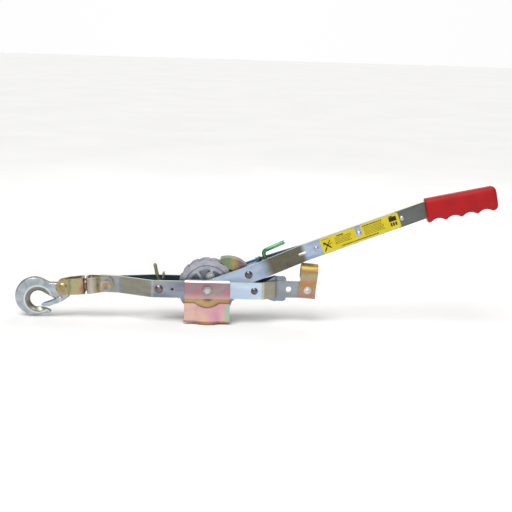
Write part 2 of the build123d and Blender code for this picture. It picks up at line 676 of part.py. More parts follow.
def drive_lever():
    """Bent rod on the pawl's tail that the thumb presses."""
    start = (LEVER_AT, PAWL_TAIL_Z - PAWL_T - 1)
    line = Plane.XZ * FilletPolyline(start, (LEVER_AT, LEVER_UP), LEVER_TO, radius=LEVER_BEND_R)
    return sweep(Plane(line @ 0, z_dir=line % 0) * Circle(LEVER_R), path=line)


def pawl_rivet():
    return domed_pin(PAWL_AT, 0, PAWL_PIN_R, PAWL_PIN_HEAD_R, HANDLE_OUT)


def pawl_spacers():
    near = tube_y(PAWL_AT, 0, PAWL_PIN_R + SPACER_WALL, PAWL_PIN_R, -HANDLE_IN, -PAWL_HALF_W - SIDE)
    return Compound([near, mirrored(near)])


def coil(x, z, pin_r, y_from, y_to, leg_from, leg_to):
    """Torsion spring: a closed sleeve of turns and one straight leg."""
    body = tube_y(x, z, pin_r + SIDE + SPRING_WIRE, pin_r + SIDE, y_from, y_to)
    leg_y = (y_to - SPRING_WIRE / 2) if y_to > y_from else (y_to + SPRING_WIRE / 2)
    line = Line((leg_from[0], leg_y, leg_from[1]), (leg_to[0], leg_y, leg_to[1]))
    leg = sweep(Plane(line @ 0, z_dir=line % 0) * Circle(SPRING_LEG_R), path=line)
    return body + leg


def drive_spring():
    side = PAWL_PIN_R + SIDE + SPRING_WIRE / 2
    half = PAWL_HALF_W - PAWL_T - 1
    return coil(PAWL_AT, 0, PAWL_PIN_R, -half, half, (PAWL_AT, side), (PAWL_AT + DRIVE_LEG, side))


# ---------------------------------------------------------------- holding pawl
def holding_pawl():
    """Pawl that stops the wheel running back: hub, arm to the rim, and a spring lug."""
    angle = radians(HOLD_TIP_ANGLE)
    tip = (CREST_R * cos(angle), CREST_R * sin(angle))
    reach = hypot(tip[0] - HOLD_PIN_X, tip[1])
    across = (-tip[1] / reach * HOLD_TIP_T / 2, (tip[0] - HOLD_PIN_X) / reach * HOLD_TIP_T / 2)
    arm = polygon((HOLD_PIN_X, -HOLD_ARM_HALF), (tip[0] - across[0], tip[1] - across[1]),
                  (tip[0] + across[0], tip[1] + across[1]), (HOLD_PIN_X, HOLD_ARM_HALF))
    side = arm + Pos(HOLD_PIN_X, 0) * Circle(HOLD_HUB_R)
    lug = polygon((HOLD_PIN_X + HOLD_LUG_X, 0), (HOLD_PIN_X + HOLD_LUG_X, HOLD_LUG_Z),
                  (HOLD_PIN_X + HOLD_LUG_X - HOLD_LUG_T, HOLD_LUG_Z), (HOLD_PIN_X, 0))
    pawl = side_slab(side, HOLD_HALF_W) + side_slab(lug, HOLD_HALF_W / 2)
    pawl -= rod_y(0, 0, PAWL_CLEAR_R, -REACH, REACH)
    pawl -= trigger_stem(TRIGGER_R)
    return pawl - rod_y(HOLD_PIN_X, 0, HOLD_PIN_R + RUN, -REACH, REACH)


def trigger_stem(radius):
    """Round stem from the holding pawl's hub to the trigger's top."""
    lean = atan2(-TRIGGER_TOP[0], TRIGGER_TOP[1])
    low = HOLD_PIN_R + RUN + TRIGGER_ROOT
    high = hypot(*TRIGGER_TOP)
    stem = Pos(0, 0, (low + high) / 2) * Cylinder(radius, high - low)
    return Pos(HOLD_PIN_X, 0, 0) * Rot(0, -degrees(lean), 0) * stem


def release_trigger():
    """Stem with a rounded top and a wider foot on the hub."""
    lean = atan2(-TRIGGER_TOP[0], TRIGGER_TOP[1])
    high = hypot(*TRIGGER_TOP)
    top = Pos(0, 0, high) * Sphere(TRIGGER_R)
    foot = Pos(0, 0, HOLD_HUB_R + TRIGGER_FOOT_UP) * Cone(TRIGGER_FOOT_R, TRIGGER_R, TRIGGER_FOOT_H)
    return trigger_stem(TRIGGER_R) + Pos(HOLD_PIN_X, 0, 0) * Rot(0, -degrees(lean), 0) * (top + foot)


def holding_spring():
    side = HOLD_PIN_R + SIDE + SPRING_WIRE / 2
    return coil(HOLD_PIN_X, 0, HOLD_PIN_R, -HOLD_HALF_W - HOLD_COIL_W, -HOLD_HALF_W - SIDE,
                (HOLD_PIN_X + side, 0), (HOLD_PIN_X + side, HOLD_LUG_Z - HOLD_LEG_SHORT))


def holding_spacers():
    """Tubes that centre the holding pawl between the frame straps."""
    outer = HOLD_PIN_R + SPACER_WALL
    near = tube_y(HOLD_PIN_X, 0, outer, HOLD_PIN_R, -FRAME_IN, -HOLD_HALF_W - HOLD_COIL_W - SIDE)
    far = tube_y(HOLD_PIN_X, 0, outer, HOLD_PIN_R, HOLD_HALF_W + SIDE, FRAME_IN)
    return Compound([near, far])


# ---------------------------------------------------------------- brackets and swivel
def bracket(web_face, web_back, bend_at, ear_mid, end_at):
    """Pressed U bracket drawn from the nose bolt towards -X: web, splayed legs, flat ears."""
    web_mid = -(web_face + web_back) / 2
    wide = BRACKET_WEB_HALF_W - BRACKET_T / 2
    foot = -bend_at - (web_face - bend_at) * LEG_FOOT
    line = [(-end_at, -ear_mid), (-bend_at, -ear_mid), (foot, -wide), (web_mid, -wide),
            (web_mid, wide), (foot, wide), (-bend_at, ear_mid), (-end_at, ear_mid)]
    return plan_bar(line, BRACKET_T, BRACKET_BEND_R)


def frame_bracket():
    """U bracket whose ears turn on the nose bolt."""
    u_bar = bracket(FRAME_WEB_AT - BRACKET_T, FRAME_WEB_AT, FRAME_BRACKET_BEND,
                    (LEG_IN + LEG_OUT) / 2, -BRACKET_H)
    half = BRACKET_H / 2
    outline = Pos(-REACH / 2, 0) * Rectangle(REACH, BRACKET_H) + Circle(half)
    u_bar &= side_slab(outline)
    u_bar -= rod_y(0, 0, STUD_R + RUN, -REACH, REACH)
    return on_bracket_line(u_bar - swivel_hole(FRAME_WEB_AT - BRACKET_T / 2))


def swivel_hole(at):
    return Pos(-at, 0, 0) * Rot(0, 90, 0) * Cylinder(SWIVEL_R + RUN, 2 * BRACKET_T)


def hook_bracket():
    """U bracket whose ears carry the hook pin."""
    half = BRACKET_H / 2
    u_bar = bracket(HOOK_WEB_AT + BRACKET_T, HOOK_WEB_AT, HOOK_PIN_AT - HOOK_EAR_BEND,
                    (HOOK_EAR_IN + HOOK_EAR_OUT) / 2, HOOK_PIN_AT + BRACKET_H)
    shoulder = HOOK_PIN_AT - HOOK_EAR_BEND
    outline = polygon((0, -half), (0, half), (-shoulder, half), (-HOOK_PIN_AT, HOOK_EAR_R),
                      (-HOOK_PIN_AT, -HOOK_EAR_R), (-shoulder, -half))
    outline += Pos(-HOOK_PIN_AT, 0) * Circle(HOOK_EAR_R)
    u_bar &= side_slab(outline)
    u_bar -= rod_y(-HOOK_PIN_AT, 0, HOOK_PIN_R, -REACH, REACH)
    return on_bracket_line(u_bar - swivel_hole(HOOK_WEB_AT + BRACKET_T / 2))


def swivel_bar(radius, start, end):
    return Pos(-(start + end) / 2, 0, 0) * Rot(0, 90, 0) * Cylinder(radius, abs(end - start))


def swivel_rivet():
    """Rivet through both webs; it turns with the hook bracket."""
    inner = FRAME_WEB_AT - BRACKET_T - SIDE
    outer = HOOK_WEB_AT + BRACKET_T
    rivet = swivel_bar(SWIVEL_R, inner, outer)
    rivet += swivel_bar(SWIVEL_HEAD_R, inner - SWIVEL_HEAD_T, inner)
    return on_bracket_line(rivet + swivel_bar(SWIVEL_HEAD_R, outer, outer + SWIVEL_HEAD_T))


def swivel_washer():
    start = FRAME_WEB_AT + SIDE
    ring = swivel_bar(SWIVEL_WASHER_R, start, HOOK_WEB_AT) - swivel_bar(SWIVEL_R, start, HOOK_WEB_AT)
    return on_bracket_line(ring)


# ---------------------------------------------------------------- hook and latch
def hook_outline():
    """Side outline of the hook about its pin: bowl, lip and tip, shank, eye, latch lobe."""
    bowl_x, bowl_z = HOOK_BOWL_AT
    body = Pos(*HOOK_OUT_AT) * Circle(HOOK_OUT_R)
    body += polygon(*HOOK_TIP) + polygon(*HOOK_SHANK) + Circle(HOOK_EYE_R) + polygon(*HOOK_LOBE)
    mouth = polygon((bowl_x + MOUTH_TOP[0], bowl_z + MOUTH_TOP[1]), *MOUTH_LINE,
                    (bowl_x + MOUTH_LOW[0], bowl_z + MOUTH_LOW[1]))
    return body - mouth - Pos(bowl_x, bowl_z) * Circle(HOOK_BOWL_R)


def place_hook(shape):
    x, z = hook_pin_place()
    return Pos(x, 0, z) * shape


def hook():
    """Forged hook with chamfered flanks."""
    body = side_slab(hook_outline(), HOOK_T / 2)
    body -= rod_y(0, 0, HOOK_PIN_R + RUN, -REACH, REACH)
    return place_hook(body - rod_y(*LATCH_PIVOT, LATCH_RIVET_R, -REACH, REACH))


def hook_pin():
    x, z = hook_pin_place()
    pin = rod_y(x, z, HOOK_PIN_R, -HOOK_EAR_OUT, HOOK_EAR_OUT)
    pin += dome_y(x, z, HOOK_PIN_HEAD_R, HOOK_PIN_HEAD_T, -HOOK_EAR_OUT, -1)
    return pin + dome_y(x, z, HOOK_PIN_HEAD_R, HOOK_PIN_HEAD_T, HOOK_EAR_OUT, 1)


def latch():
    """Sheet latch that closes the hook's mouth: two side ears and a plate between."""
    side_in = HOOK_T / 2 + SIDE
    side_out = side_in + LATCH_SIDE_T
    plate = Pos(-(LATCH_PLATE_FROM + LATCH_L) / 2, 0, 0) * Box(
        LATCH_L - LATCH_PLATE_FROM, HOOK_T - 1, LATCH_T)
    bridge = Pos(-(LATCH_PLATE_FROM + LATCH_SIDE_TO) / 2, 0, 0) * Box(
        LATCH_SIDE_TO - LATCH_PLATE_FROM, 2 * side_out, LATCH_T)
    ear = polygon((0, LATCH_EAR_R), (-LATCH_SIDE_TO, LATCH_T / 2), (-LATCH_SIDE_TO, -LATCH_T / 2),
                  (-LATCH_PLATE_FROM, -LATCH_EAR_R), (0, -LATCH_EAR_R)) + Circle(LATCH_EAR_R)
    ears = side_slab(ear, side_out) - side_slab(ear, side_in)
    body = plate + bridge + ears
    body -= rod_y(0, 0, LATCH_RIVET_R + RUN, -REACH, REACH)
    return place_hook(Pos(LATCH_PIVOT[0], 0, LATCH_PIVOT[1]) * Rot(0, -LATCH_DROP, 0) * body)


def latch_rivet():
    face = HOOK_T / 2 + SIDE + LATCH_SIDE_T + SIDE / 2
    x, z = LATCH_PIVOT
    rivet = rod_y(x, z, LATCH_RIVET_R, -face, face)
    for way in (-1, 1):
        rivet += dome_y(x, z, LATCH_RIVET_HEAD_R, LATCH_RIVET_HEAD_T, way * face, way)
    return place_hook(rivet)


# ---------------------------------------------------------------- write every piece
PIECES = {
    "frame_strap_near": near_frame_strap,
    "frame_strap_far": far_frame_strap,
    "rear_gusset_near": rear_gusset,
    "rear_gusset_far": lambda: mirrored(rear_gusset()),
    "rope_guard_near": rope_guard,
    "rope_guard_far": lambda: mirrored(rope_guard()),
    "axle": axle,
    "axle_nuts": axle_nuts,
    "axle_spacers": axle_spacers,
    "holding_pawl_pin": lambda: domed_pin(HOLD_PIN_X, 0, HOLD_PIN_R, HOLD_HEAD_R, FRAME_OUT),
    "holding_pawl_spacers": holding_spacers,
    "rear_rivet": lambda: domed_pin(REAR_RIVET_X, 0, REAR_RIVET_R, REAR_HEAD_R, FRAME_OUT),
    "rear_spacer": rear_spacer,
    "nose_bolt": nose_bolt,
    "nose_washer": nose_washer,
    "nose_nut": nose_nut,
    "guide_rivet": guide_rivet,
    "rope_guide": rope_guide,
    "wheel_near_half": wheel_half,
    "wheel_far_half": lambda: mirrored(wheel_half()),
    "wheel_bush": wheel_bush,
    "wheel_rivets": wheel_rivets,
    "handle_strap_near": lambda: on_handle(near_handle_strap()),
    "handle_strap_far": lambda: on_handle(mirrored(near_handle_strap())),
    "handle_rivets": lambda: on_handle(handle_rivets()),
    "handle_label": lambda: on_handle(handle_label()),
    "grip": lambda: on_handle(grip()),
    "pawl_rivet": lambda: on_handle(pawl_rivet()),
    "pawl_spacers": lambda: on_handle(pawl_spacers()),
    "drive_pawl": lambda: on_handle(drive_pawl()),
    "drive_pawl_lever": lambda: on_handle(drive_lever()),
    "drive_pawl_spring": lambda: on_handle(drive_spring()),
    "holding_pawl": holding_pawl,
    "release_trigger": release_trigger,
    "holding_pawl_spring": holding_spring,
    "frame_bracket": frame_bracket,
    "hook_bracket": hook_bracket,
    "swivel_rivet": swivel_rivet,
    "swivel_washer": swivel_washer,
    "hook_pin": hook_pin,
    "hook": hook,
    "latch": latch,
    "latch_rivet": latch_rivet,
}

os.makedirs("parts", exist_ok=True)
for name, make in PIECES.items():
    export_step(make(), f"parts/{name}.step")
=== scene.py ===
"""Visible model of a rope come-along winch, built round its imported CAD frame.

Lengths are metres and places come from the frame: node boxes, joint positions and the record.
Sub-assemblies are classes whose fields hold their sizes; finishes are small classes that make materials.
"""
from __future__ import annotations

import json
import logging
import math
from dataclasses import dataclass, field
from enum import Enum

import bmesh
import bpy
import numpy as np
from mathutils import Matrix, Vector

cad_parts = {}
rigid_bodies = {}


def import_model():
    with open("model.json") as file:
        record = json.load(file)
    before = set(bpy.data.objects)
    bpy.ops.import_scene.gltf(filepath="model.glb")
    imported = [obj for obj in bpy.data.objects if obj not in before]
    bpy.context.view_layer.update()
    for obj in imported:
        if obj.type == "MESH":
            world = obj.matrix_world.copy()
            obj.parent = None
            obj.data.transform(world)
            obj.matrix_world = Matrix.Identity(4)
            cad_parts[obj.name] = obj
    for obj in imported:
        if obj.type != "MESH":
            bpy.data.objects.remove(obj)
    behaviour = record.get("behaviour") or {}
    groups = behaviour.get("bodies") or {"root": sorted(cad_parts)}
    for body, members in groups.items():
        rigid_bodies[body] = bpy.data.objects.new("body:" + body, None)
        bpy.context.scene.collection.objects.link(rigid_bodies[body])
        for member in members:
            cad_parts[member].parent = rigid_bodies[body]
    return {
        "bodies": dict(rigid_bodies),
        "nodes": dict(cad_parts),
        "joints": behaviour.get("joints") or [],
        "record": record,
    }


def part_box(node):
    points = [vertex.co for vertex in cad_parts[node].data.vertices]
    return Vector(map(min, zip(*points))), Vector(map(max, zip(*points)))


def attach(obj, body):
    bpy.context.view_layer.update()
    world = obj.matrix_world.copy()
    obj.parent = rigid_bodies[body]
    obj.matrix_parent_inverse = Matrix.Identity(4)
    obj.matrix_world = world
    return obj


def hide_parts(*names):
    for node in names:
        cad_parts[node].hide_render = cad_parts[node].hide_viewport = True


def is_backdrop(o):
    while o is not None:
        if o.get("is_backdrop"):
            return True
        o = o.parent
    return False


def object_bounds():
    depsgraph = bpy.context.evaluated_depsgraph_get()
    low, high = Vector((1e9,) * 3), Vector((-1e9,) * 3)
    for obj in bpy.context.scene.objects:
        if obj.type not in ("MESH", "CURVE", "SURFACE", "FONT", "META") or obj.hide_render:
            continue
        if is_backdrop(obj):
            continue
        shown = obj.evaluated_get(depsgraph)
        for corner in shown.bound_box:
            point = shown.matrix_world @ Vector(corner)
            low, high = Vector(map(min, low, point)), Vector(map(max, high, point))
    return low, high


LOG = logging.getLogger("come_along")
Colour = tuple[float, float, float]
Stops = tuple[tuple[float, Colour], ...]


# ------------------------------------------------------------------ meshes from arrays
class Side(Enum):
    """Which side of the winch a piece is on; the value is the sign of its Y."""

    NEAR = -1
    FAR = 1

    def label(self, stem: str) -> str:
        """A name for the piece on this side."""
        return f"{stem}_{self.name.lower()}"


def grid_faces(rows: int, cols: int, closed: bool) -> np.ndarray:
    """Quads of a grid whose vertices are numbered row by row.

    Args:
        rows: number of rows of vertices.
        cols: number of vertices in a row.
        closed: whether the last column joins the first.

    Returns:
        An array of quads, four vertex numbers each.
    """
    row = np.arange(rows - 1)[:, None]
    col = np.arange(cols if closed else cols - 1)[None, :]
    right = (col + 1) % cols
    quads = [row * cols + col, row * cols + right, (row + 1) * cols + right, (row + 1) * cols + col]
    return np.stack(np.broadcast_arrays(*quads), axis=-1).reshape(-1, 4)


def make_piece(name: str, points: np.ndarray, faces: list[list[int]],
               smooth: bool = True) -> bpy.types.Object:
    """A mesh object at the origin from points in metres, with its normals turned outwards.

    Args:
        name: the piece's name.
        points: vertex positions, one row each.
        faces: vertex numbers of each face.
        smooth: whether faces are shaded smooth.

    Returns:
        The new object, linked to the scene.
    """
    mesh = bpy.data.meshes.new(name)
    mesh.from_pydata(np.asarray(points, float).tolist(), [], faces)
    work = bmesh.new()
    work.from_mesh(mesh)
    bmesh.ops.recalc_face_normals(work, faces=work.faces)
    work.to_mesh(mesh)
    work.free()
    mesh.shade_smooth() if smooth else mesh.shade_flat()
    piece = bpy.data.objects.new(name, mesh)
    bpy.context.scene.collection.objects.link(piece)
    return piece


def surface(name: str, rings: np.ndarray) -> bpy.types.Object:
    """A closed-section surface through rings of points, its ends capped by a fan to their middle.

    Args:
        name: the piece's name.
        rings: array of shape (rows, cols, 3).

    Returns:
        The new object.
    """
    rows, cols = rings.shape[:2]
    points = np.vstack([rings.reshape(-1, 3), rings[0].mean(0), rings[-1].mean(0)])
    faces = grid_faces(rows, cols, True).tolist()
    first, last = rows * cols, rows * cols + 1
    col = np.arange(cols)
    faces += np.stack([np.full(cols, first), (col + 1) % cols, col], 1).tolist()
    base = (rows - 1) * cols
    faces += np.stack([np.full(cols, last), base + col, base + (col + 1) % cols], 1).tolist()
    return make_piece(name, points, faces)


def join_pieces(name: str, parts: list[bpy.types.Object]) -> bpy.types.Object:
    """One object from several closed ones; the several are removed.

    Args:
        name: the joined piece's name.
        parts: the pieces to join.

    Returns:
        The new object.
    """
    work = bmesh.new()
    for part in parts:
        work.from_mesh(part.data)
        bpy.data.objects.remove(part)
    mesh = bpy.data.meshes.new(name)
    work.to_mesh(mesh)
    work.free()
    mesh.shade_smooth()
    piece = bpy.data.objects.new(name, mesh)
    bpy.context.scene.collection.objects.link(piece)
    return piece


def tube_rings(path: np.ndarray, radius: float, sides: int) -> np.ndarray:
    """Rings of a round wire along a path; each ring lies across the path's local direction.

    Args:
        path: points along the wire's middle.
        radius: the wire's radius.
        sides: points round the wire.

    Returns:
        An array of shape (points, sides, 3).
    """
    along = np.gradient(path, axis=0)
    along /= np.linalg.norm(along, axis=1, keepdims=True)
    slant, straight = np.array([0.31, 0.17, 0.93]), np.array([1.0, 0, 0])
    guide = slant if abs(along[0] @ slant) < 0.9 else straight
    across = guide - (along @ guide)[:, None] * along
    across /= np.linalg.norm(across, axis=1, keepdims=True)
    other = np.cross(along, across)
    turn = np.linspace(0, 2 * math.pi, sides, endpoint=False)
    ring = across[:, None, :] * np.cos(turn)[None, :, None] + other[:, None, :] * np.sin(turn)[None, :, None]
    return path[:, None, :] + radius * ring


def smooth_step(value: np.ndarray) -> np.ndarray:
    """Rises from 0 to 1 with flat ends as value goes from 0 to 1."""
    t = np.clip(value, 0, 1)
    return t * t * (3 - 2 * t)


# ------------------------------------------------------------------ finishes
class Shader:
    """One node material under construction, with short calls for the usual nodes."""

    def __init__(self, name: str) -> None:
        """Starts a material with a principled surface and object coordinates.

        Args:
            name: the material's name.
        """
        self.material = bpy.data.materials.new(name)
        self.material.use_nodes = True
        self.tree = self.material.node_tree
        self.surface = self.tree.nodes["Principled BSDF"]
        self.where = self.tree.nodes.new("ShaderNodeTexCoord")

    def link(self, start: bpy.types.NodeSocket, end: bpy.types.NodeSocket) -> None:
        """Joins two sockets."""
        self.tree.links.new(start, end)

    def mapped(self, scale: tuple[float, float, float] = (1, 1, 1), turn: float = 0.0,
               start: tuple[float, float, float] = (0, 0, 0)) -> bpy.types.NodeSocket:
        """Object coordinates, moved, turned about Y and scaled.

        Args:
            scale: scale along each axis.
            turn: turn about Y in radians.
            start: place taken as the pattern's origin, in metres.

        Returns:
            The vector socket.
        """
        moved = self.tree.nodes.new("ShaderNodeMapping")
        moved.vector_type = "TEXTURE"
        moved.inputs["Location"].default_value = start
        moved.inputs["Rotation"].default_value = (0, turn, 0)
        moved.inputs["Scale"].default_value = tuple(1 / s for s in scale)
        self.link(self.where.outputs["Object"], moved.inputs["Vector"])
        return moved.outputs["Vector"]

    def noise(self, vector: bpy.types.NodeSocket, scale: float, detail: float = 4.0,
              rough: float = 0.55, warp: float = 0.0) -> bpy.types.NodeSocket:
        """Noise from 0 to 1 at a scale in features per metre.

        Args:
            vector: where the pattern is read.
            scale: features in a metre.
            detail: number of finer layers.
            rough: weight of the finer layers.
            warp: how far the pattern is bent.

        Returns:
            The value's socket.
        """
        node = self.tree.nodes.new("ShaderNodeTexNoise")
        node.inputs["Scale"].default_value = scale
        node.inputs["Detail"].default_value = detail
        node.inputs["Roughness"].default_value = rough
        node.inputs["Distortion"].default_value = warp
        self.link(vector, node.inputs["Vector"])
        return node.outputs["Fac"]

    def cells(self, vector: bpy.types.NodeSocket, scale: float) -> bpy.types.NodeSocket:
        """Distance to cell centres, for spangle and pitting.

        Args:
            vector: where the pattern is read.
            scale: cells in a metre.

        Returns:
            The distance's socket.
        """
        node = self.tree.nodes.new("ShaderNodeTexVoronoi")
        node.inputs["Scale"].default_value = scale
        self.link(vector, node.inputs["Vector"])
        return node.outputs["Distance"]

    def ramp(self, factor: bpy.types.NodeSocket, stops: Stops) -> bpy.types.NodeSocket:
        """Colour ramp over a factor.

        Args:
            factor: socket from 0 to 1.
            stops: places and colours in order.

        Returns:
            The colour's socket.
        """
        node = self.tree.nodes.new("ShaderNodeValToRGB")
        band = node.color_ramp
        while len(band.elements) < len(stops):
            band.elements.new(0.5)
        for element, (place, colour) in zip(band.elements, stops):
            element.position = place
            element.color = (*colour, 1)
        self.link(factor, node.inputs["Fac"])
        return node.outputs["Color"]

    def feed(self, value: object, socket: bpy.types.NodeSocket) -> None:
        """Gives a socket its value: another socket, a number or a colour.

        Args:
            value: a socket, a number or a colour.
            socket: the socket that takes it.
        """
        if isinstance(value, bpy.types.NodeSocket):
            self.link(value, socket)
        else:
            socket.default_value = (*value, 1) if isinstance(value, tuple) else value

    def math(self, kind: str, first: bpy.types.NodeSocket, second: object) -> bpy.types.NodeSocket:
        """One arithmetic step; second is a socket or a number.

        Args:
            kind: name of the arithmetic step.
            first: a socket.
            second: a socket or a number.

        Returns:
            The result's socket.
        """
        node = self.tree.nodes.new("ShaderNodeMath")
        node.operation = kind
        self.link(first, node.inputs[0])
        self.feed(second, node.inputs[1])
        return node.outputs[0]

    def reach(self, start: tuple[float, float, float] = (0, 0, 0)) -> bpy.types.NodeSocket:
        """Distance from a line along Y through a place.

        Args:
            start: a place on the line, in metres.

        Returns:
            The distance's socket.
        """
        flat = self.tree.nodes.new("ShaderNodeVectorMath")
        flat.operation = "MULTIPLY"
        flat.inputs[1].default_value = (1, 0, 1)
        self.link(self.mapped(start=start), flat.inputs[0])
        length = self.tree.nodes.new("ShaderNodeVectorMath")
        length.operation = "LENGTH"
        self.link(flat.outputs[0], length.inputs[0])
        return length.outputs["Value"]

    def blend(self, factor: object, low: object, high: object, way: str = "MIX") -> bpy.types.NodeSocket:
        """Mix of two colours, each a socket or a colour; the factor is a socket or a number.

        Args:
            factor: share of the second colour.
            low: the colour at 0.
            high: the colour at 1.
            way: name of the way they mix.

        Returns:
            The colour's socket.
        """
        node = self.tree.nodes.new("ShaderNodeMix")
        node.data_type = "RGBA"
        node.blend_type = way
        for value, socket in ((factor, node.inputs[0]), (low, node.inputs[6]), (high, node.inputs[7])):
            self.feed(value, socket)
        return node.outputs[2]

    def axis(self, vector: bpy.types.NodeSocket, name: str) -> bpy.types.NodeSocket:
        """One component of a vector.

        Args:
            vector: the vector to take apart.
            name: X, Y or Z.

        Returns:
            The component's socket.
        """
        node = self.tree.nodes.new("ShaderNodeSeparateXYZ")
        self.link(vector, node.inputs[0])
        return node.outputs[name]

    def span(self, value: bpy.types.NodeSocket, low: float, high: float) -> bpy.types.NodeSocket:
        """Maps low..high to 0..1, held at the ends.

        Args:
            value: the socket to map.
            low: value that gives 0.
            high: value that gives 1.

        Returns:
            The mapped value's socket.
        """
        node = self.tree.nodes.new("ShaderNodeMapRange")
        node.interpolation_type = "SMOOTHSTEP"
        node.inputs["From Min"].default_value = low
        node.inputs["From Max"].default_value = high
        self.link(value, node.inputs["Value"])
        return node.outputs["Result"]

    def bump(self, height: bpy.types.NodeSocket, strength: float, depth: float) -> None:
        """Adds a bump of the given depth in metres.

        Args:
            height: the pattern, from 0 to 1.
            strength: share of the full effect.
            depth: metres between 0 and 1.
        """
        node = self.tree.nodes.new("ShaderNodeBump")
        node.inputs["Strength"].default_value = strength
        node.inputs["Distance"].default_value = depth
        self.link(height, node.inputs["Height"])
        self.link(node.outputs["Normal"], self.surface.inputs["Normal"])

    def shine(self, metal: float, specular: float = 0.5) -> None:
        """Sets the even values of the surface."""
        self.surface.inputs["Metallic"].default_value = metal
        self.surface.inputs["Specular IOR Level"].default_value = specular


@dataclass(frozen=True)
class PaintedLightZone:
    """A stretch of a bar painted in a tone that stands in for the reflection and shade its bent, turned faces
    show; soft is the length over which it comes in and goes out.
    """

    start: float
    end: float
    tone: Colour
    soft_in: float = 0.002
    soft_out: float = 0.002


@dataclass(frozen=True)
class Zinc:
    """Zinc plated bar: cool mottled face, drawn lines, speckle, warm cut edges, painted shade on faces that
    look inwards between the straps, and zones of painted reflection and shade along the bends.
    """

    name: str
    light: Colour
    dark: Colour
    inner_shade: Colour
    edge: Colour = (0.80, 0.75, 0.58)
    zones: tuple[PaintedLightZone, ...] = ()
    turn: float = 0.0
    rough: tuple[float, float] = (0.26, 0.46)

    def make(self) -> bpy.types.Material:
        """Builds the nodes.

        Returns:
            The finished material.
        """
        shader = Shader(self.name)
        cloud = shader.noise(shader.mapped((1.0, 3.0, 3.0), self.turn), 22.0, 5.0, 0.6, 0.4)
        colour = shader.ramp(cloud, ((0.36, self.dark), (0.62, self.light)))
        place = shader.axis(shader.mapped(turn=self.turn), "X")
        # Painted reflection and shade: each zone lays the tone that a bent, turned stretch of strap shows in
        # the light.
        for zone in self.zones:
            rise = shader.span(place, zone.start, zone.start + zone.soft_in)
            fall = shader.span(place, zone.end, zone.end - zone.soft_out)
            share = shader.math("MULTIPLY", rise, fall)
            deep = tuple(0.72 * c for c in zone.tone)
            tone = shader.ramp(cloud, ((0.30, deep), (0.66, zone.tone)))
            colour = shader.blend(share, colour, tone)
        speck = shader.noise(shader.mapped(), 620.0, 3.0, 0.7)
        colour = shader.blend(shader.span(speck, 0.66, 0.78), colour, (0.80, 0.84, 0.92))
        colour = shader.blend(shader.span(speck, 0.36, 0.26), colour, tuple(0.45 * c for c in self.dark))
        # Painted shade between the two straps: faces that look inwards take their own darker colour.
        depth = shader.axis(shader.where.outputs["Object"], "Y")
        facing = shader.axis(shader.where.outputs["Normal"], "Y")
        towards = shader.math("MULTIPLY", shader.math("MULTIPLY", depth, -1000.0), facing)
        colour = shader.blend(shader.span(towards, 0.4, 1.2), colour, self.inner_shade)
        up = shader.math("ABSOLUTE", shader.axis(self._turned_normal(shader), "Z"), 0.0)
        colour = shader.blend(shader.span(up, 0.6, 0.8), colour, self.edge)
        shader.link(colour, shader.surface.inputs["Base Color"])
        lines = shader.noise(shader.mapped((0.6, 60.0, 60.0), self.turn), 40.0, 3.0)
        gloss = shader.blend(shader.math("ADD", lines, shader.math("MULTIPLY", speck, 0.4)),
                             (self.rough[0],) * 3, (self.rough[1],) * 3)
        shader.link(gloss, shader.surface.inputs["Roughness"])
        shader.bump(shader.math("ADD", speck, lines), 0.2, 0.0002)
        shader.shine(0.9)
        return shader.material

    def _turned_normal(self, shader: Shader) -> bpy.types.NodeSocket:
        """The surface direction in the strap's own line.

        Args:
            shader: the material under construction.

        Returns:
            The direction's socket.
        """
        node = shader.tree.nodes.new("ShaderNodeVectorRotate")
        node.rotation_type = "Y_AXIS"
        node.inputs["Angle"].default_value = -self.turn
        shader.link(shader.where.outputs["Normal"], node.inputs["Vector"])
        return node.outputs["Vector"]


@dataclass(frozen=True)
class Chromate:
    """Chromate over zinc: thin-film clouds of several tints along a direction."""

    name: str
    tints: Stops
    scale: float = 24.0
    stretch: tuple[float, float, float] = (1.0, 1.0, 1.0)
    rough: tuple[float, float] = (0.26, 0.46)
    metal: float = 0.85
    warp: float = 0.8
    edge: Colour | None = None

    def make(self) -> bpy.types.Material:
        """Builds the nodes.

        Returns:
            The finished material.
        """
        shader = Shader(self.name)
        cloud = shader.noise(shader.mapped(self.stretch), self.scale, 3.0, 0.5, self.warp)
        fine = shader.noise(shader.mapped(), 260.0, 4.0)
        mixed = shader.math("ADD", shader.math("MULTIPLY", cloud, 0.86), shader.math("MULTIPLY", fine, 0.14))
        colour = shader.ramp(mixed, self.tints)
        if self.edge:
            up = shader.math("ABSOLUTE", shader.axis(shader.where.outputs["Normal"], "Z"), 0.0)
            colour = shader.blend(shader.span(up, 0.7, 0.9), colour, self.edge)
        shader.link(colour, shader.surface.inputs["Base Color"])
        gloss = shader.blend(fine, (self.rough[0],) * 3, (self.rough[1],) * 3)
        shader.link(gloss, shader.surface.inputs["Roughness"])
        shader.bump(shader.noise(shader.mapped(), 700.0, 4.0), 0.3, 0.0002)
        shader.shine(self.metal)
        return shader.material


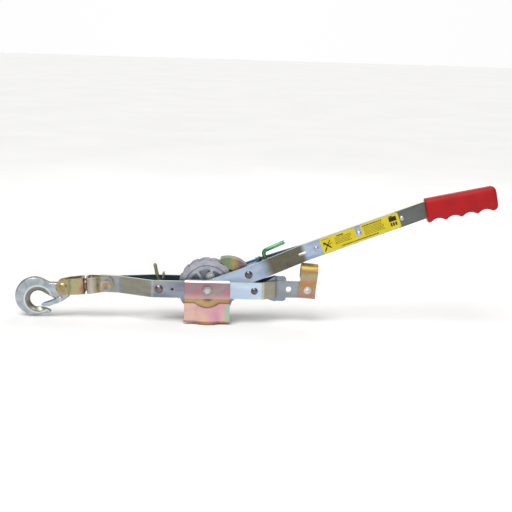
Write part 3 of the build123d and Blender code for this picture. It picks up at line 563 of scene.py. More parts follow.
@dataclass(frozen=True)
class BandedChromate:
    """Chromate whose tint follows one direction of the piece, clouded a little."""

    name: str
    along: str
    start: float
    end: float
    tints: Stops
    wander: float = 0.10
    rough: tuple[float, float] = (0.26, 0.44)

    def make(self) -> bpy.types.Material:
        """Builds the nodes.

        Returns:
            The finished material.
        """
        shader = Shader(self.name)
        place = shader.axis(shader.mapped(), self.along)
        share = shader.tree.nodes.new("ShaderNodeMapRange")
        share.inputs["From Min"].default_value = self.start
        share.inputs["From Max"].default_value = self.end
        shader.link(place, share.inputs["Value"])
        cloud = shader.math("ADD", shader.noise(shader.mapped(), 90.0, 4.0), -0.5)
        moved = shader.math("ADD", shader.math("MULTIPLY", cloud, self.wander * 2), share.outputs["Result"])
        colour = shader.ramp(moved, self.tints)
        fine = shader.noise(shader.mapped(), 420.0, 4.0)
        dark = shader.blend(shader.span(fine, 0.45, 0.25), (1.0, 1.0, 1.0), (0.55, 0.55, 0.55))
        shader.link(shader.blend(1.0, colour, dark, "MULTIPLY"), shader.surface.inputs["Base Color"])
        shader.link(shader.blend(fine, (self.rough[0],) * 3, (self.rough[1],) * 3),
                    shader.surface.inputs["Roughness"])
        shader.bump(fine, 0.25, 0.0002)
        shader.shine(0.85)
        return shader.material


@dataclass(frozen=True)
class GuardChromate:
    """The guard's pink chromate: a painted gold reflection on the up-facing step, green towards the right
    edge, copper at the lip, and a painted highlight along the top fold.
    """

    name: str
    right: float
    step_high: float
    step_low: float
    lip: float

    def make(self) -> bpy.types.Material:
        """Builds the nodes.

        Returns:
            The finished material.
        """
        shader = Shader(self.name)
        here = shader.mapped()
        height = shader.axis(here, "Z")
        cloud = shader.noise(shader.mapped((0.8, 1.0, 0.7)), 30.0, 3.0, 0.5, 1.0)
        upper = shader.ramp(cloud, ((0.30, (0.40, 0.13, 0.17)), (0.46, (0.42, 0.20, 0.24)),
                                    (0.58, (0.32, 0.23, 0.27)), (0.70, (0.36, 0.33, 0.24))))
        fade = shader.span(height, self.step_high + 0.012, self.step_high)
        upper = shader.blend(fade, upper, (0.56, 0.36, 0.36))
        under = shader.ramp(cloud, ((0.32, (0.66, 0.34, 0.42)), (0.47, (0.70, 0.42, 0.44)),
                                    (0.56, (0.70, 0.50, 0.34)), (0.70, (0.62, 0.42, 0.58))))
        lower = shader.span(height, self.step_high, self.step_low)
        colour = shader.blend(lower, upper, under)
        # Painted reflection: dark gold on the up-facing slope of the step.
        facing = shader.axis(shader.where.outputs["Normal"], "Z")
        band = shader.math("MULTIPLY", shader.span(facing, 0.10, 0.34),
                           shader.span(height, self.step_high + 0.003, self.step_high))
        gold = shader.ramp(cloud, ((0.3, (0.15, 0.080, 0.035)), (0.7, (0.17, 0.125, 0.060))))
        colour = shader.blend(band, colour, gold)
        side = shader.span(shader.axis(here, "X"), self.right - 0.011, self.right - 0.002)
        under_step = shader.span(height, self.step_low, self.step_low - 0.004)
        colour = shader.blend(shader.math("MULTIPLY", side, under_step), colour, (0.34, 0.54, 0.38))
        lip = shader.span(height, self.lip + 0.003, self.lip + 0.0008)
        colour = shader.blend(lip, colour, (0.42, 0.17, 0.10))
        # Painted highlight along the rounded top fold.
        top = shader.span(height, 0.0112, 0.0120)
        colour = shader.blend(top, colour, (0.76, 0.75, 0.70))
        shader.link(colour, shader.surface.inputs["Base Color"])
        fine = shader.noise(here, 300.0, 4.0)
        shader.link(shader.blend(fine, (0.28,) * 3, (0.46,) * 3), shader.surface.inputs["Roughness"])
        shader.bump(shader.noise(here, 500.0, 4.0), 0.3, 0.0003)
        shader.shine(0.8)
        return shader.material


@dataclass(frozen=True)
class CastMetal:
    """Cast aluminium: grainy lilac grey face, darker and bluer on the pocket floors, painted shade on the
    pocket walls and along the step ring, darker and browner towards the rim's crest.
    """

    name: str
    crest: float
    floor: float
    step: float = 0.0347
    face: Colour = (0.46, 0.47, 0.53)
    shade: Colour = (0.28, 0.29, 0.34)
    rim: Colour = (0.24, 0.15, 0.09)

    def make(self) -> bpy.types.Material:
        """Builds the nodes.

        Returns:
            The finished material.
        """
        shader = Shader(self.name)
        here = shader.mapped()
        cloud = shader.noise(here, 90.0, 5.0, 0.62)
        colour = shader.ramp(cloud, ((0.30, self.shade), (0.60, self.face)))
        reach = shader.reach()
        side = shader.math("ABSOLUTE", shader.axis(shader.where.outputs["Normal"], "Y"), 0.0)
        depth = shader.math("ABSOLUTE", shader.axis(here, "Y"), 0.0)
        low = shader.span(depth, self.floor + 0.0012, self.floor + 0.0004)
        colour = shader.blend(low, colour, (0.22, 0.27, 0.31))
        inside = shader.span(reach, self.crest * 0.97, self.crest * 0.94)
        ring = shader.math("MULTIPLY", shader.span(reach, self.step - 0.0011, self.step - 0.0007),
                           shader.span(reach, self.step + 0.0004, self.step))
        # Painted shade: near black on the pocket walls and along the step ring, where contact shadow falls.
        wall_shade = shader.math("MAXIMUM", shader.math("MULTIPLY", shader.span(side, 0.75, 0.35), inside),
                            shader.math("MULTIPLY", ring, shader.span(depth, 0.007, 0.008)))
        colour = shader.blend(wall_shade, colour, (0.05, 0.055, 0.06))
        outer = shader.math("MULTIPLY", shader.span(reach, self.crest * 0.90, self.crest * 0.97),
                            shader.span(side, 0.5, 0.2))
        colour = shader.blend(outer, colour, self.rim)
        shader.link(colour, shader.surface.inputs["Base Color"])
        grain = shader.noise(here, 1400.0, 3.0)
        shader.link(shader.blend(grain, (0.34,) * 3, (0.56,) * 3), shader.surface.inputs["Roughness"])
        shader.bump(grain, 0.25, 0.0002)
        shader.shine(0.82)
        return shader.material


@dataclass(frozen=True)
class Forged:
    """Bright zinc over a forging: soft pitting and faint hammered waviness; on the hook, painted shade round
    the bowl and on sloped faces, and a painted highlight along the ridge round the bowl.
    """

    name: str
    light: Colour = (0.48, 0.54, 0.58)
    dark: Colour = (0.26, 0.30, 0.33)
    rough: tuple[float, float] = (0.22, 0.42)
    depth: float = 0.0006
    bowl_shade_at: tuple[float, float, float] | None = None
    bowl_shade_reach: float = 0.0188
    bowl_shade: Colour = (0.24, 0.24, 0.20)
    slope_shade: Colour = (0.30, 0.23, 0.15)
    ridge: Colour = (0.68, 0.71, 0.72)

    def make(self) -> bpy.types.Material:
        """Builds the nodes.

        Returns:
            The finished material.
        """
        shader = Shader(self.name)
        here = shader.mapped()
        cloud = shader.noise(here, 90.0, 5.0, 0.65, 0.5)
        colour = shader.ramp(cloud, ((0.34, self.dark), (0.60, self.light)))
        if self.bowl_shade_at:
            # Painted shade on the sloped ring round the hook's bowl.
            edge = self.bowl_shade_reach
            reach = shader.reach(self.bowl_shade_at)
            near = shader.span(reach, edge + 0.0020, edge - 0.0010)
            colour = shader.blend(near, colour, self.bowl_shade)
            # Painted highlight: a thin bright ring along the ridge round the bowl, in the ridge colour.
            ridge_highlight = shader.math("MULTIPLY", shader.span(reach, edge, edge + 0.0014),
                               shader.span(reach, edge + 0.0036, edge + 0.0018))
            colour = shader.blend(ridge_highlight, colour, self.ridge)
            # Painted shade: faces that turn away from the flat sides go brown.
            side = shader.math("ABSOLUTE", shader.axis(shader.where.outputs["Normal"], "Y"), 0.0)
            colour = shader.blend(shader.span(side, 0.62, 0.25), colour, self.slope_shade)
        shader.link(colour, shader.surface.inputs["Base Color"])
        pits = shader.cells(here, 420.0)
        shader.link(shader.blend(cloud, (self.rough[0],) * 3, (self.rough[1],) * 3),
                    shader.surface.inputs["Roughness"])
        shader.bump(shader.math("ADD", shader.math("MULTIPLY", pits, 0.35), cloud), 0.5, self.depth)
        shader.shine(0.9)
        return shader.material


@dataclass(frozen=True)
class Vinyl:
    """Moulded vinyl: even colour with faint mottling, a soft gloss and a fine orange peel."""

    name: str
    colour: Colour
    dark: Colour
    rough: float = 0.38

    def make(self) -> bpy.types.Material:
        """Builds the nodes.

        Returns:
            The finished material.
        """
        shader = Shader(self.name)
        here = shader.mapped()
        cloud = shader.noise(here, 50.0, 4.0)
        shader.link(shader.ramp(cloud, ((0.35, self.dark), (0.60, self.colour))),
                    shader.surface.inputs["Base Color"])
        scuff = shader.noise(shader.mapped((0.4, 1, 1)), 220.0, 4.0)
        shader.link(shader.blend(scuff, (self.rough - 0.08,) * 3, (self.rough + 0.1,) * 3),
                    shader.surface.inputs["Roughness"])
        shader.bump(shader.noise(here, 1100.0, 2.0), 0.2, 0.00025)
        shader.shine(0.0, specular=0.28)
        return shader.material


# ------------------------------------------------------------------ places taken from the frame
@dataclass
class Places:
    """Joint positions and directions that the pieces share."""

    frame: dict

    def joint(self, name: str) -> Vector:
        """Position of a joint.

        Args:
            name: the joint's name.

        Returns:
            Its position in metres.
        """
        for joint in self.frame["joints"]:
            if joint["name"] == name:
                return Vector(joint["pos_m"])
        raise KeyError(name)

    @property
    def handle_angle(self) -> float:
        """Stored angle of the handle above +X."""
        pivot = self.joint("drive_pawl_lift")
        return math.atan2(pivot.z, pivot.x)

    def on_handle(self, points: np.ndarray) -> np.ndarray:
        """Points drawn along +X from the axle, turned to the handle's stored angle.

        Args:
            points: array of points, three values each.

        Returns:
            The turned points.
        """
        turn = self.handle_angle
        out = np.array(points, float)
        x, z = out[..., 0].copy(), out[..., 2].copy()
        out[..., 0] = x * math.cos(turn) - z * math.sin(turn)
        out[..., 2] = x * math.sin(turn) + z * math.cos(turn)
        return out


def dress(frame: dict, material: bpy.types.Material, *nodes: str) -> None:
    """Gives CAD nodes a material through their object's slots.

    Args:
        frame: what the frame loader gave.
        material: the finish.
        *nodes: names of the CAD nodes.
    """
    for name in nodes:
        node = frame["nodes"][name]
        if not node.material_slots:
            node.data.materials.append(material)
        for slot in node.material_slots:
            slot.link = "OBJECT"
            slot.material = material


# ------------------------------------------------------------------ sub-assemblies
@dataclass
class Grip:
    """Moulded grip: rounded section whose underside has finger scallops."""

    places: Places
    material: bpy.types.Material
    start: float = -0.0015
    end: float = 0.1068
    top: float = 0.0163
    ridge: float = 0.0206
    scallop: float = 0.0042
    pitch: float = 0.0241
    first: float = 0.0142
    half_width: float = 0.011
    end_round: float = 0.0075
    droop: float = math.radians(9)
    strap_end: float = 0.350
    rows: int = 220
    cols: int = 72

    def underside(self, along: np.ndarray) -> np.ndarray:
        """Depth of the underside: a parabola in each finger valley, a rounder one where two meet.

        Args:
            along: distances from the strap's end.

        Returns:
            Depth below the grip's line at each.
        """
        away = np.abs((along - self.first + self.pitch / 2) % self.pitch - self.pitch / 2) / (self.pitch / 2)
        inside = (along > self.first - self.pitch * 0.55) & (along < self.first + 3.55 * self.pitch)
        valley = np.where(away < 0.8, 1 - away ** 2, 0.2 + 4 * (1 - away) ** 2)
        return self.ridge - self.scallop * np.where(inside, (valley - 0.2) / 0.8, 0.0)

    def build(self) -> bpy.types.Object:
        """Sections are superellipses; both ends are drawn in along a quarter circle.

        Returns:
            The finished piece.
        """
        share = np.linspace(0, 1, self.rows)
        along = self.start + (self.end - self.start) * (0.5 - 0.5 * np.cos(math.pi * share))
        along = 0.35 * along + 0.65 * (self.start + (self.end - self.start) * share)
        near_end = np.minimum(along - self.start, self.end - along)
        radius = np.where(along < (self.start + self.end) / 2, self.end_round * 0.3, self.end_round)
        bite = np.clip(1 - near_end / radius, 0, 1)
        inset = radius * (1 - np.sqrt(1 - bite ** 2))
        low, high = -self.underside(along) + inset, self.top - inset
        middle, half = (low + high) / 2, (high - low) / 2
        width = self.half_width - inset * 0.8
        turn = np.linspace(0, 2 * math.pi, self.cols, endpoint=False)
        power = 2 / 3.6
        side = np.sign(np.cos(turn)) * np.abs(np.cos(turn)) ** power
        rise = np.sign(np.sin(turn)) * np.abs(np.sin(turn)) ** power
        rings = np.zeros((self.rows, self.cols, 3))
        rings[..., 0] = along[:, None]
        rings[..., 1] = width[:, None] * side[None, :]
        rings[..., 2] = middle[:, None] + half[:, None] * rise[None, :]
        x, z = rings[..., 0].copy(), rings[..., 2].copy()
        rings[..., 0] = self.strap_end + x * math.cos(self.droop) + z * math.sin(self.droop)
        rings[..., 2] = -x * math.sin(self.droop) + z * math.cos(self.droop)
        piece = surface("grip_sleeve", self.places.on_handle(rings))
        piece.data.materials.append(self.material)
        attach(piece, "handle")
        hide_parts("grip")
        return piece


@dataclass
class ForgedHook:
    """Forged hook: the plate's outline kept, its section worked up to a ridge with a round bowl."""

    places: Places
    plate: bpy.types.Object
    material: bpy.types.Material
    bowl_at: tuple[float, float] = (-0.0374, -0.0199)
    bowl_radius: float = 0.0125
    eye_radius: float = 0.0048
    voxel: float = 0.00052

    def outline(self, work: bmesh.types.BMesh) -> np.ndarray:
        """Sharp edges of the plate's near face, as pairs of points in X and Z.

        Args:
            work: the merged plate.

        Returns:
            An array of shape (edges, 2, 2).
        """
        face = min(v.co.y for v in work.verts)
        pairs = [[(v.co.x, v.co.z) for v in edge.verts] for edge in work.edges
                 if all(abs(v.co.y - face) < 1e-5 for v in edge.verts)
                 and edge.calc_face_angle(0.0) > math.radians(50)]
        return np.array(pairs)

    def away(self, points: np.ndarray, edges: np.ndarray) -> np.ndarray:
        """Each point's distance to the nearest of some straight edges.

        Args:
            points: X and Z of each point.
            edges: the straight edges.

        Returns:
            A distance for each point.
        """
        start, along = edges[:, 0], edges[:, 1] - edges[:, 0]
        size = np.maximum((along ** 2).sum(1), 1e-18)
        nearest = np.full(len(points), np.inf)
        for first, step, square in zip(start, along, size):
            share = np.clip(((points - first) @ step) / square, 0, 1)
            nearest = np.minimum(nearest, np.linalg.norm(points - first - share[:, None] * step, axis=1))
        return nearest

    def height(self, points: np.ndarray, edges: np.ndarray) -> np.ndarray:
        """Share of the half thickness at each point.

        Each kind of edge has a round of its own: over the width w the share rises from its start s to 1
        as s + (1 - s) * (d / w) ** p; the least of the kinds holds, and the flank falls off outwards.

        Args:
            points: X and Z of each point.
            edges: the plate's sharp edges.

        Returns:
            A share for each point.
        """
        pin = self.places.joint("hook_pivot")
        pin_xz = np.array([pin.x, pin.z])
        middle = edges.mean(1)
        to_bowl = np.linalg.norm(middle - pin_xz - self.bowl_at, axis=1)
        to_eye = np.linalg.norm(middle - pin_xz, axis=1)
        bowl = to_bowl < self.bowl_radius + 0.0012
        eye = to_eye < self.eye_radius + 0.001
        rest = ~(bowl | eye)
        share = np.ones(len(points))
        for kind, width, start, power in ((bowl, 0.0068, 0.16, 0.60), (rest, 0.0017, 0.50, 0.5),
                                          (eye, 0.0006, 0.9, 0.5)):
            near = np.clip(self.away(points, edges[kind]) / width, 0, 1)
            share = np.minimum(share, start + (1 - start) * near ** power)
        flank = np.clip(self.away(points, edges[rest]) / 0.0085, 0, 1)
        around = smooth_step((0.034 - np.linalg.norm(points - pin_xz - self.bowl_at, axis=1)) / 0.008)
        return share * (1 - 0.42 * around * (1 - flank))

    def build(self) -> bpy.types.Object:
        """A merged copy of the CAD hook is remeshed finely, then its thickness is worked.

        Returns:
            The finished piece.
        """
        work = bmesh.new()
        work.from_mesh(self.plate.data)
        bmesh.ops.remove_doubles(work, verts=work.verts, dist=1e-6)
        edges = self.outline(work)
        merged = bpy.data.meshes.new("hook_plate")
        work.to_mesh(merged)
        work.free()
        blank = bpy.data.objects.new("hook_blank", merged)
        bpy.context.scene.collection.objects.link(blank)
        remesh = blank.modifiers.new("grain", "REMESH")
        remesh.mode, remesh.voxel_size = "VOXEL", self.voxel
        relax = blank.modifiers.new("relax", "SMOOTH")
        relax.factor, relax.iterations = 0.5, 3
        mesh = bpy.data.meshes.new_from_object(blank.evaluated_get(bpy.context.evaluated_depsgraph_get()))
        bpy.data.objects.remove(blank)
        points = np.empty(len(mesh.vertices) * 3)
        mesh.vertices.foreach_get("co", points)
        points = points.reshape(-1, 3)
        points[:, 1] *= self.height(points[:, (0, 2)], edges)
        mesh.vertices.foreach_set("co", points.ravel())
        mesh.shade_smooth()
        mesh.materials.clear()
        mesh.materials.append(self.material)
        mesh.name = "hook_forging"
        piece = bpy.data.objects.new("hook_forging", mesh)
        bpy.context.scene.collection.objects.link(piece)
        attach(piece, "hook")
        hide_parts("hook")
        return piece


@dataclass
class SheetLatch:
    """Folded sheet latch: two flanges from the rivet to the tip, with a web along their lower edges."""

    places: Places
    material: bpy.types.Material
    drop: float = math.radians(22.6)
    ear: float = 0.0042
    length: float = 0.0296
    flange_y: float = 0.00685
    flange_thick: float = 0.0011
    web_from: float = 0.0105
    web_thick: float = 0.0015
    rows: int = 90

    def limits(self, along: np.ndarray) -> tuple[np.ndarray, np.ndarray]:
        """Bottom and top of the flanges: the ear's circle, then straight runs to the tip.

        Args:
            along: distances from the rivet.

        Returns:
            Bottom and top at each distance.
        """
        circle = np.sqrt(np.maximum(self.ear ** 2 - np.minimum(along, 0.0) ** 2, 0))
        top = np.interp(along, (0, 0.006, 0.014, 0.0296), (self.ear, 0.0022, 0.0014, 0.0024))
        low = np.interp(along, (0, 0.006, 0.019, 0.0255, 0.0296),
                        (-self.ear, -0.0050, -0.0043, -0.0022, 0.0006))
        return np.where(along < 0, -circle, low), np.where(along < 0, circle, top)

    def place(self, along: np.ndarray, up: np.ndarray, y: np.ndarray) -> np.ndarray:
        """Points from the latch's own line to the winch.

        Args:
            along: distances from the rivet.
            up: heights above the latch's line.
            y: places across.

        Returns:
            Points in metres.
        """
        pivot = self.places.joint("latch_pivot")
        x = pivot.x - along * math.cos(self.drop) - up * math.sin(self.drop)
        z = pivot.z - along * math.sin(self.drop) + up * math.cos(self.drop)
        return np.stack(np.broadcast_arrays(x, y, z), -1)

    def plate(self, along: np.ndarray, low: np.ndarray, top: np.ndarray,
              y_low: float, y_top: float) -> np.ndarray:
        """Rings of a flat bar between two heights and two sides, its section a rounded rectangle.

        Args:
            along: distances from the rivet.
            low: bottom at each distance.
            top: top at each distance.
            y_low: one side.
            y_top: the other side.

        Returns:
            An array of shape (distances, 24, 3).
        """
        turn = np.linspace(0, 2 * math.pi, 24, endpoint=False)
        side = np.sign(np.cos(turn)) * np.abs(np.cos(turn)) ** 0.35
        rise = np.sign(np.sin(turn)) * np.abs(np.sin(turn)) ** 0.35
        middle, half = (low + top) / 2, (top - low) / 2
        y = (y_low + y_top) / 2 + side * (y_top - y_low) / 2
        up = middle[:, None] + half[:, None] * rise[None, :]
        return self.place(along[:, None], up, y[None, :])

    def build(self) -> bpy.types.Object:
        """Two flanges and the web, each a closed bar, as one mesh.

        Returns:
            The finished piece.
        """
        along = np.linspace(-self.ear * 0.995, self.length - 0.0012, self.rows)
        low, top = self.limits(along)
        bars = [self.plate(along, low, top, side * self.flange_y - self.flange_thick / 2,
                           side * self.flange_y + self.flange_thick / 2) for side in (-1, 1)]
        run = np.linspace(self.web_from, self.length, self.rows)
        web_low = self.limits(run)[0]
        bars.append(self.plate(run, web_low, web_low + self.web_thick, -self.flange_y, self.flange_y))
        parts = [surface(f"latch_bar_{i}", bar) for i, bar in enumerate(bars)]
        piece = join_pieces("latch_sheet", parts)
        piece.data.materials.append(self.material)
        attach(piece, "latch")
        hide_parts("latch")
        return piece


@dataclass
class LabelPrint:
    """Print on the handle's label: rows of dashes, heavier bars and two plain figures, with no lettering."""

    places: Places
    material: bpy.types.Material
    face: float
    start: float = 0.1827
    end: float = 0.3062
    thick: float = 0.00006

    def dashes(self, start: float, end: float, height: float, tall: float, seed: int) -> np.ndarray:
        """One row of dashes of uneven lengths, as corners (u0, v0, u1, v1, u2, v2, u3, v3).

        Args:
            start: where the row starts.
            end: where it ends.
            height: its middle height.
            tall: height of a dash.
            seed: seed of the lengths.

        Returns:
            One row of eight values for each dash.
        """
        chance = np.random.default_rng(seed)
        lengths = chance.uniform(0.0011, 0.0034, 40)
        starts = start + np.concatenate([[0], np.cumsum(lengths + 0.0006)])[:-1]
        keep = starts + lengths < end
        u0, u1 = starts[keep], (starts + lengths)[keep]
        v0, v1 = np.full_like(u0, height - tall / 2), np.full_like(u0, height + tall / 2)
        return np.stack([u0, v0, u1, v0, u1, v1, u0, v1], 1)

    def bar(self, u0: float, v0: float, u1: float, v1: float, wide: float) -> np.ndarray:
        """One straight bar between two points.

        Args:
            u0: start along the handle.
            v0: start height.
            u1: end along the handle.
            v1: end height.
            wide: the bar's width.

        Returns:
            One row of eight values.
        """
        way = np.array([u1 - u0, v1 - v0])
        side = np.array([-way[1], way[0]]) / np.linalg.norm(way) * wide / 2
        corners = np.array([(u0, v0) - side, (u1, v1) - side, (u1, v1) + side, (u0, v0) + side])
        return corners.reshape(1, 8)

    def marks(self) -> np.ndarray:
        """All marks: a figure of crossed bars, two blocks of rows, a foot line and a solid block.

        Returns:
            One row of eight values for each mark.
        """
        u = self.start
        rows = [self.bar(u + 0.004, -0.007, u + 0.015, 0.006, 0.0012),
                self.bar(u + 0.004, 0.005, u + 0.014, -0.006, 0.0020),
                self.bar(u + 0.003, 0.001, u + 0.008, 0.0035, 0.0010),
                self.bar(u + 0.010, -0.001, u + 0.017, 0.001, 0.0008),
                self.bar(u + 0.003, -0.009, u + 0.007, -0.0045, 0.0016)]
        rows.append(self.dashes(u + 0.002, u + 0.015, 0.0092, 0.0007, 3))
        rows.append(self.bar(u + 0.026, 0.0082, u + 0.037, 0.0082, 0.0016))
        rows += [self.dashes(u + 0.022, u + 0.0485, 0.0055 - 0.0022 * i, 0.0008, 10 + i) for i in range(5)]
        rows.append(self.dashes(u + 0.030, u + 0.088, -0.0088, 0.0015, 30))
        right = u + 0.067
        rows.append(self.dashes(right, right + 0.032, 0.0086, 0.0015, 40))
        rows += [self.dashes(right + 0.001, right + 0.033, 0.0058 - 0.0022 * i, 0.0008, 50 + i)
                 for i in range(6)]
        block = self.end - 0.0155
        rows += [self.bar(block, 0.0040, block + 0.0115, 0.0040, 0.0068),
                 self.bar(block + 0.001, 0.0085, block + 0.006, 0.0085, 0.0016)]
        rows += [self.bar(block + 0.002 + 0.0037 * i, -0.0066, block + 0.002 + 0.0037 * i, -0.0012, 0.0026)
                 for i in range(3)]
        return np.vstack(rows)

    def build(self) -> bpy.types.Object:
        """Each mark is a thin closed slab that stands on the label's face.

        Returns:
            The finished piece.
        """
        marks = self.marks().reshape(-1, 4, 2)
        u, v = marks[..., 0], marks[..., 1]
        out = np.stack([u, np.full_like(u, -self.face - self.thick), v], -1)
        back = np.stack([u, np.full_like(u, -self.face + self.thick), v], -1)
        points = np.concatenate([out, back], 1).reshape(-1, 3)
        cube = np.array([(0, 1, 2, 3), (7, 6, 5, 4), (0, 4, 5, 1), (1, 5, 6, 2), (2, 6, 7, 3), (3, 7, 4, 0)])
        faces = (np.arange(len(marks))[:, None, None] * 8 + cube[None]).reshape(-1, 4)
        piece = make_piece("label_print", self.places.on_handle(points), faces.tolist(), False)
        piece.data.materials.append(self.material)
        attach(piece, "handle")
        return piece


@dataclass
class RopeGuard:
    """Pressed sheet guard: fold over the strap, upper panel, step out, lower panel with a middle rib."""

    material: bpy.types.Material
    side: Side
    strap_in: float
    outer: float
    top: float
    depth: float
    half_width: float
    thick: float = 0.002
    step_out: float = 0.004
    step_top: float = -0.0137
    slope: float = 0.8
    dip: float = 0.0024
    bulge: float = 0.0047
    bulge_half: float = 0.0172
    rows: int = 150
    cols: int = 121

    def swell(self, x: np.ndarray) -> np.ndarray:
        """How far the middle rib stands out at x: a circular arc whose feet run out softly.

        Args:
            x: places across the guard.

        Returns:
            How far the rib stands out at each.
        """
        radius = (self.bulge_half ** 2 + self.bulge ** 2) / (2 * self.bulge)
        arc = np.sqrt(np.maximum(radius ** 2 - x ** 2, 0)) - (radius - self.bulge)
        soft = 0.0006
        return soft * np.logaddexp(0, arc / soft)

    def build(self) -> bpy.types.Object:
        """The sheet's middle surface as a grid along the section and across, thickened by Solidify.

        Returns:
            The finished piece.
        """
        face = self.outer - self.thick / 2
        crown = self.top - self.thick / 2
        fold = face - self.strap_in
        bend = 0.0034
        down = crown + self.depth
        arc = np.linspace(0, fold + down, self.rows)
        across = np.linspace(-1, 1, self.cols)
        s, a = np.meshgrid(arc, across, indexing="ij")
        narrow = 0.0035 * np.clip(1 - s / 0.004, 0, 1)
        x = a * (self.half_width - narrow)
        corner = np.clip((s - fold + bend) / (2 * bend), 0, 1) * math.pi / 2
        level = np.where(s < fold - bend, self.strap_in + s, face - bend + bend * np.sin(corner))
        height = np.where(s < fold - bend, crown, crown - bend * (1 - np.cos(corner)))
        height = np.where(s > fold + bend, crown - (s - fold), height)
        swell = self.swell(x)
        want = np.maximum(self.step_top - height, 0) * self.slope
        limit = self.step_out + swell
        soft = 0.0006
        out = -soft * np.logaddexp(-want / soft, -limit / soft)
        stretch = np.clip((self.step_top - height) / (self.depth + self.step_top), 0, 1)
        height = height - self.dip * (swell / self.bulge) * stretch ** 2
        lip = np.clip(1 - (self.depth + height + self.dip * (swell / self.bulge)) / 0.003, 0, 1)
        out = np.maximum(out, 0) + 0.0009 * lip ** 2
        flare = np.clip((np.abs(a) - 0.9) / 0.1, 0, 1) * stretch ** 4
        x = x + np.sign(a) * 0.0008 * flare
        points = np.stack([x, self.side.value * (level + out), height], -1).reshape(-1, 3)
        faces = grid_faces(self.rows, self.cols, False)
        piece = make_piece(self.side.label("guard_sheet"), points, faces[:, ::self.side.value].tolist())
        sheet = piece.modifiers.new("sheet", "SOLIDIFY")
        sheet.thickness = self.thick
        sheet.offset = 0
        sheet.use_even_offset = True
        piece.data.materials.append(self.material)
        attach(piece, "frame")
        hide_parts(self.side.label("rope_guard"))
        return piece


@dataclass
class Spring:
    """Torsion spring of round wire: close turns round a pin and one straight leg."""

    name: str
    node: str
    body: str
    material: bpy.types.Material
    centre: np.ndarray
    start: float
    end: float
    leg: np.ndarray
    leg_from: float
    radius: float = 0.0052
    wire: float = 0.0008
    pitch: float = 0.0019

    def build(self) -> bpy.types.Object:
        """The path is a helix along Y that runs off straight along the leg.

        Returns:
            The finished piece.
        """
        turns = abs(self.end - self.start) / self.pitch
        turn = self.leg_from + np.linspace(-2 * math.pi * turns, 0, int(turns * 28))
        depth = np.linspace(self.start, self.end, len(turn))
        coil = self.centre + np.stack([self.radius * np.cos(turn), depth, self.radius * np.sin(turn)], 1)
        reach = np.linspace(0, 1, 12)[1:, None]
        path = np.vstack([coil, coil[-1] + reach * self.leg])
        piece = surface(self.name, tube_rings(path, self.wire, 12))
        piece.data.materials.append(self.material)
        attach(piece, self.body)
        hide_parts(self.node)
        return piece


@dataclass
class Thread:
    """Screw thread on the end of a stud: a fine helical ridge along Y."""

    name: str
    material: bpy.types.Material
    x: float
    z: float
    start: float
    end: float
    body: str = "frame"
    radius: float = 0.004
    pitch: float = 0.0011
    ridge: float = 0.00028

    def build(self) -> bpy.types.Object:
        """A thin wire wound on the stud.

        Returns:
            The finished piece.
        """
        turns = abs(self.end - self.start) / self.pitch
        turn = np.linspace(0, 2 * math.pi * turns, int(turns * 40) + 20)
        depth = np.linspace(self.start, self.end, len(turn))
        path = np.stack([self.x + self.radius * np.cos(turn), depth, self.z + self.radius * np.sin(turn)], 1)
        piece = surface(self.name, tube_rings(path, self.ridge, 8))
        piece.data.materials.append(self.material)
        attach(piece, self.body)
        return piece


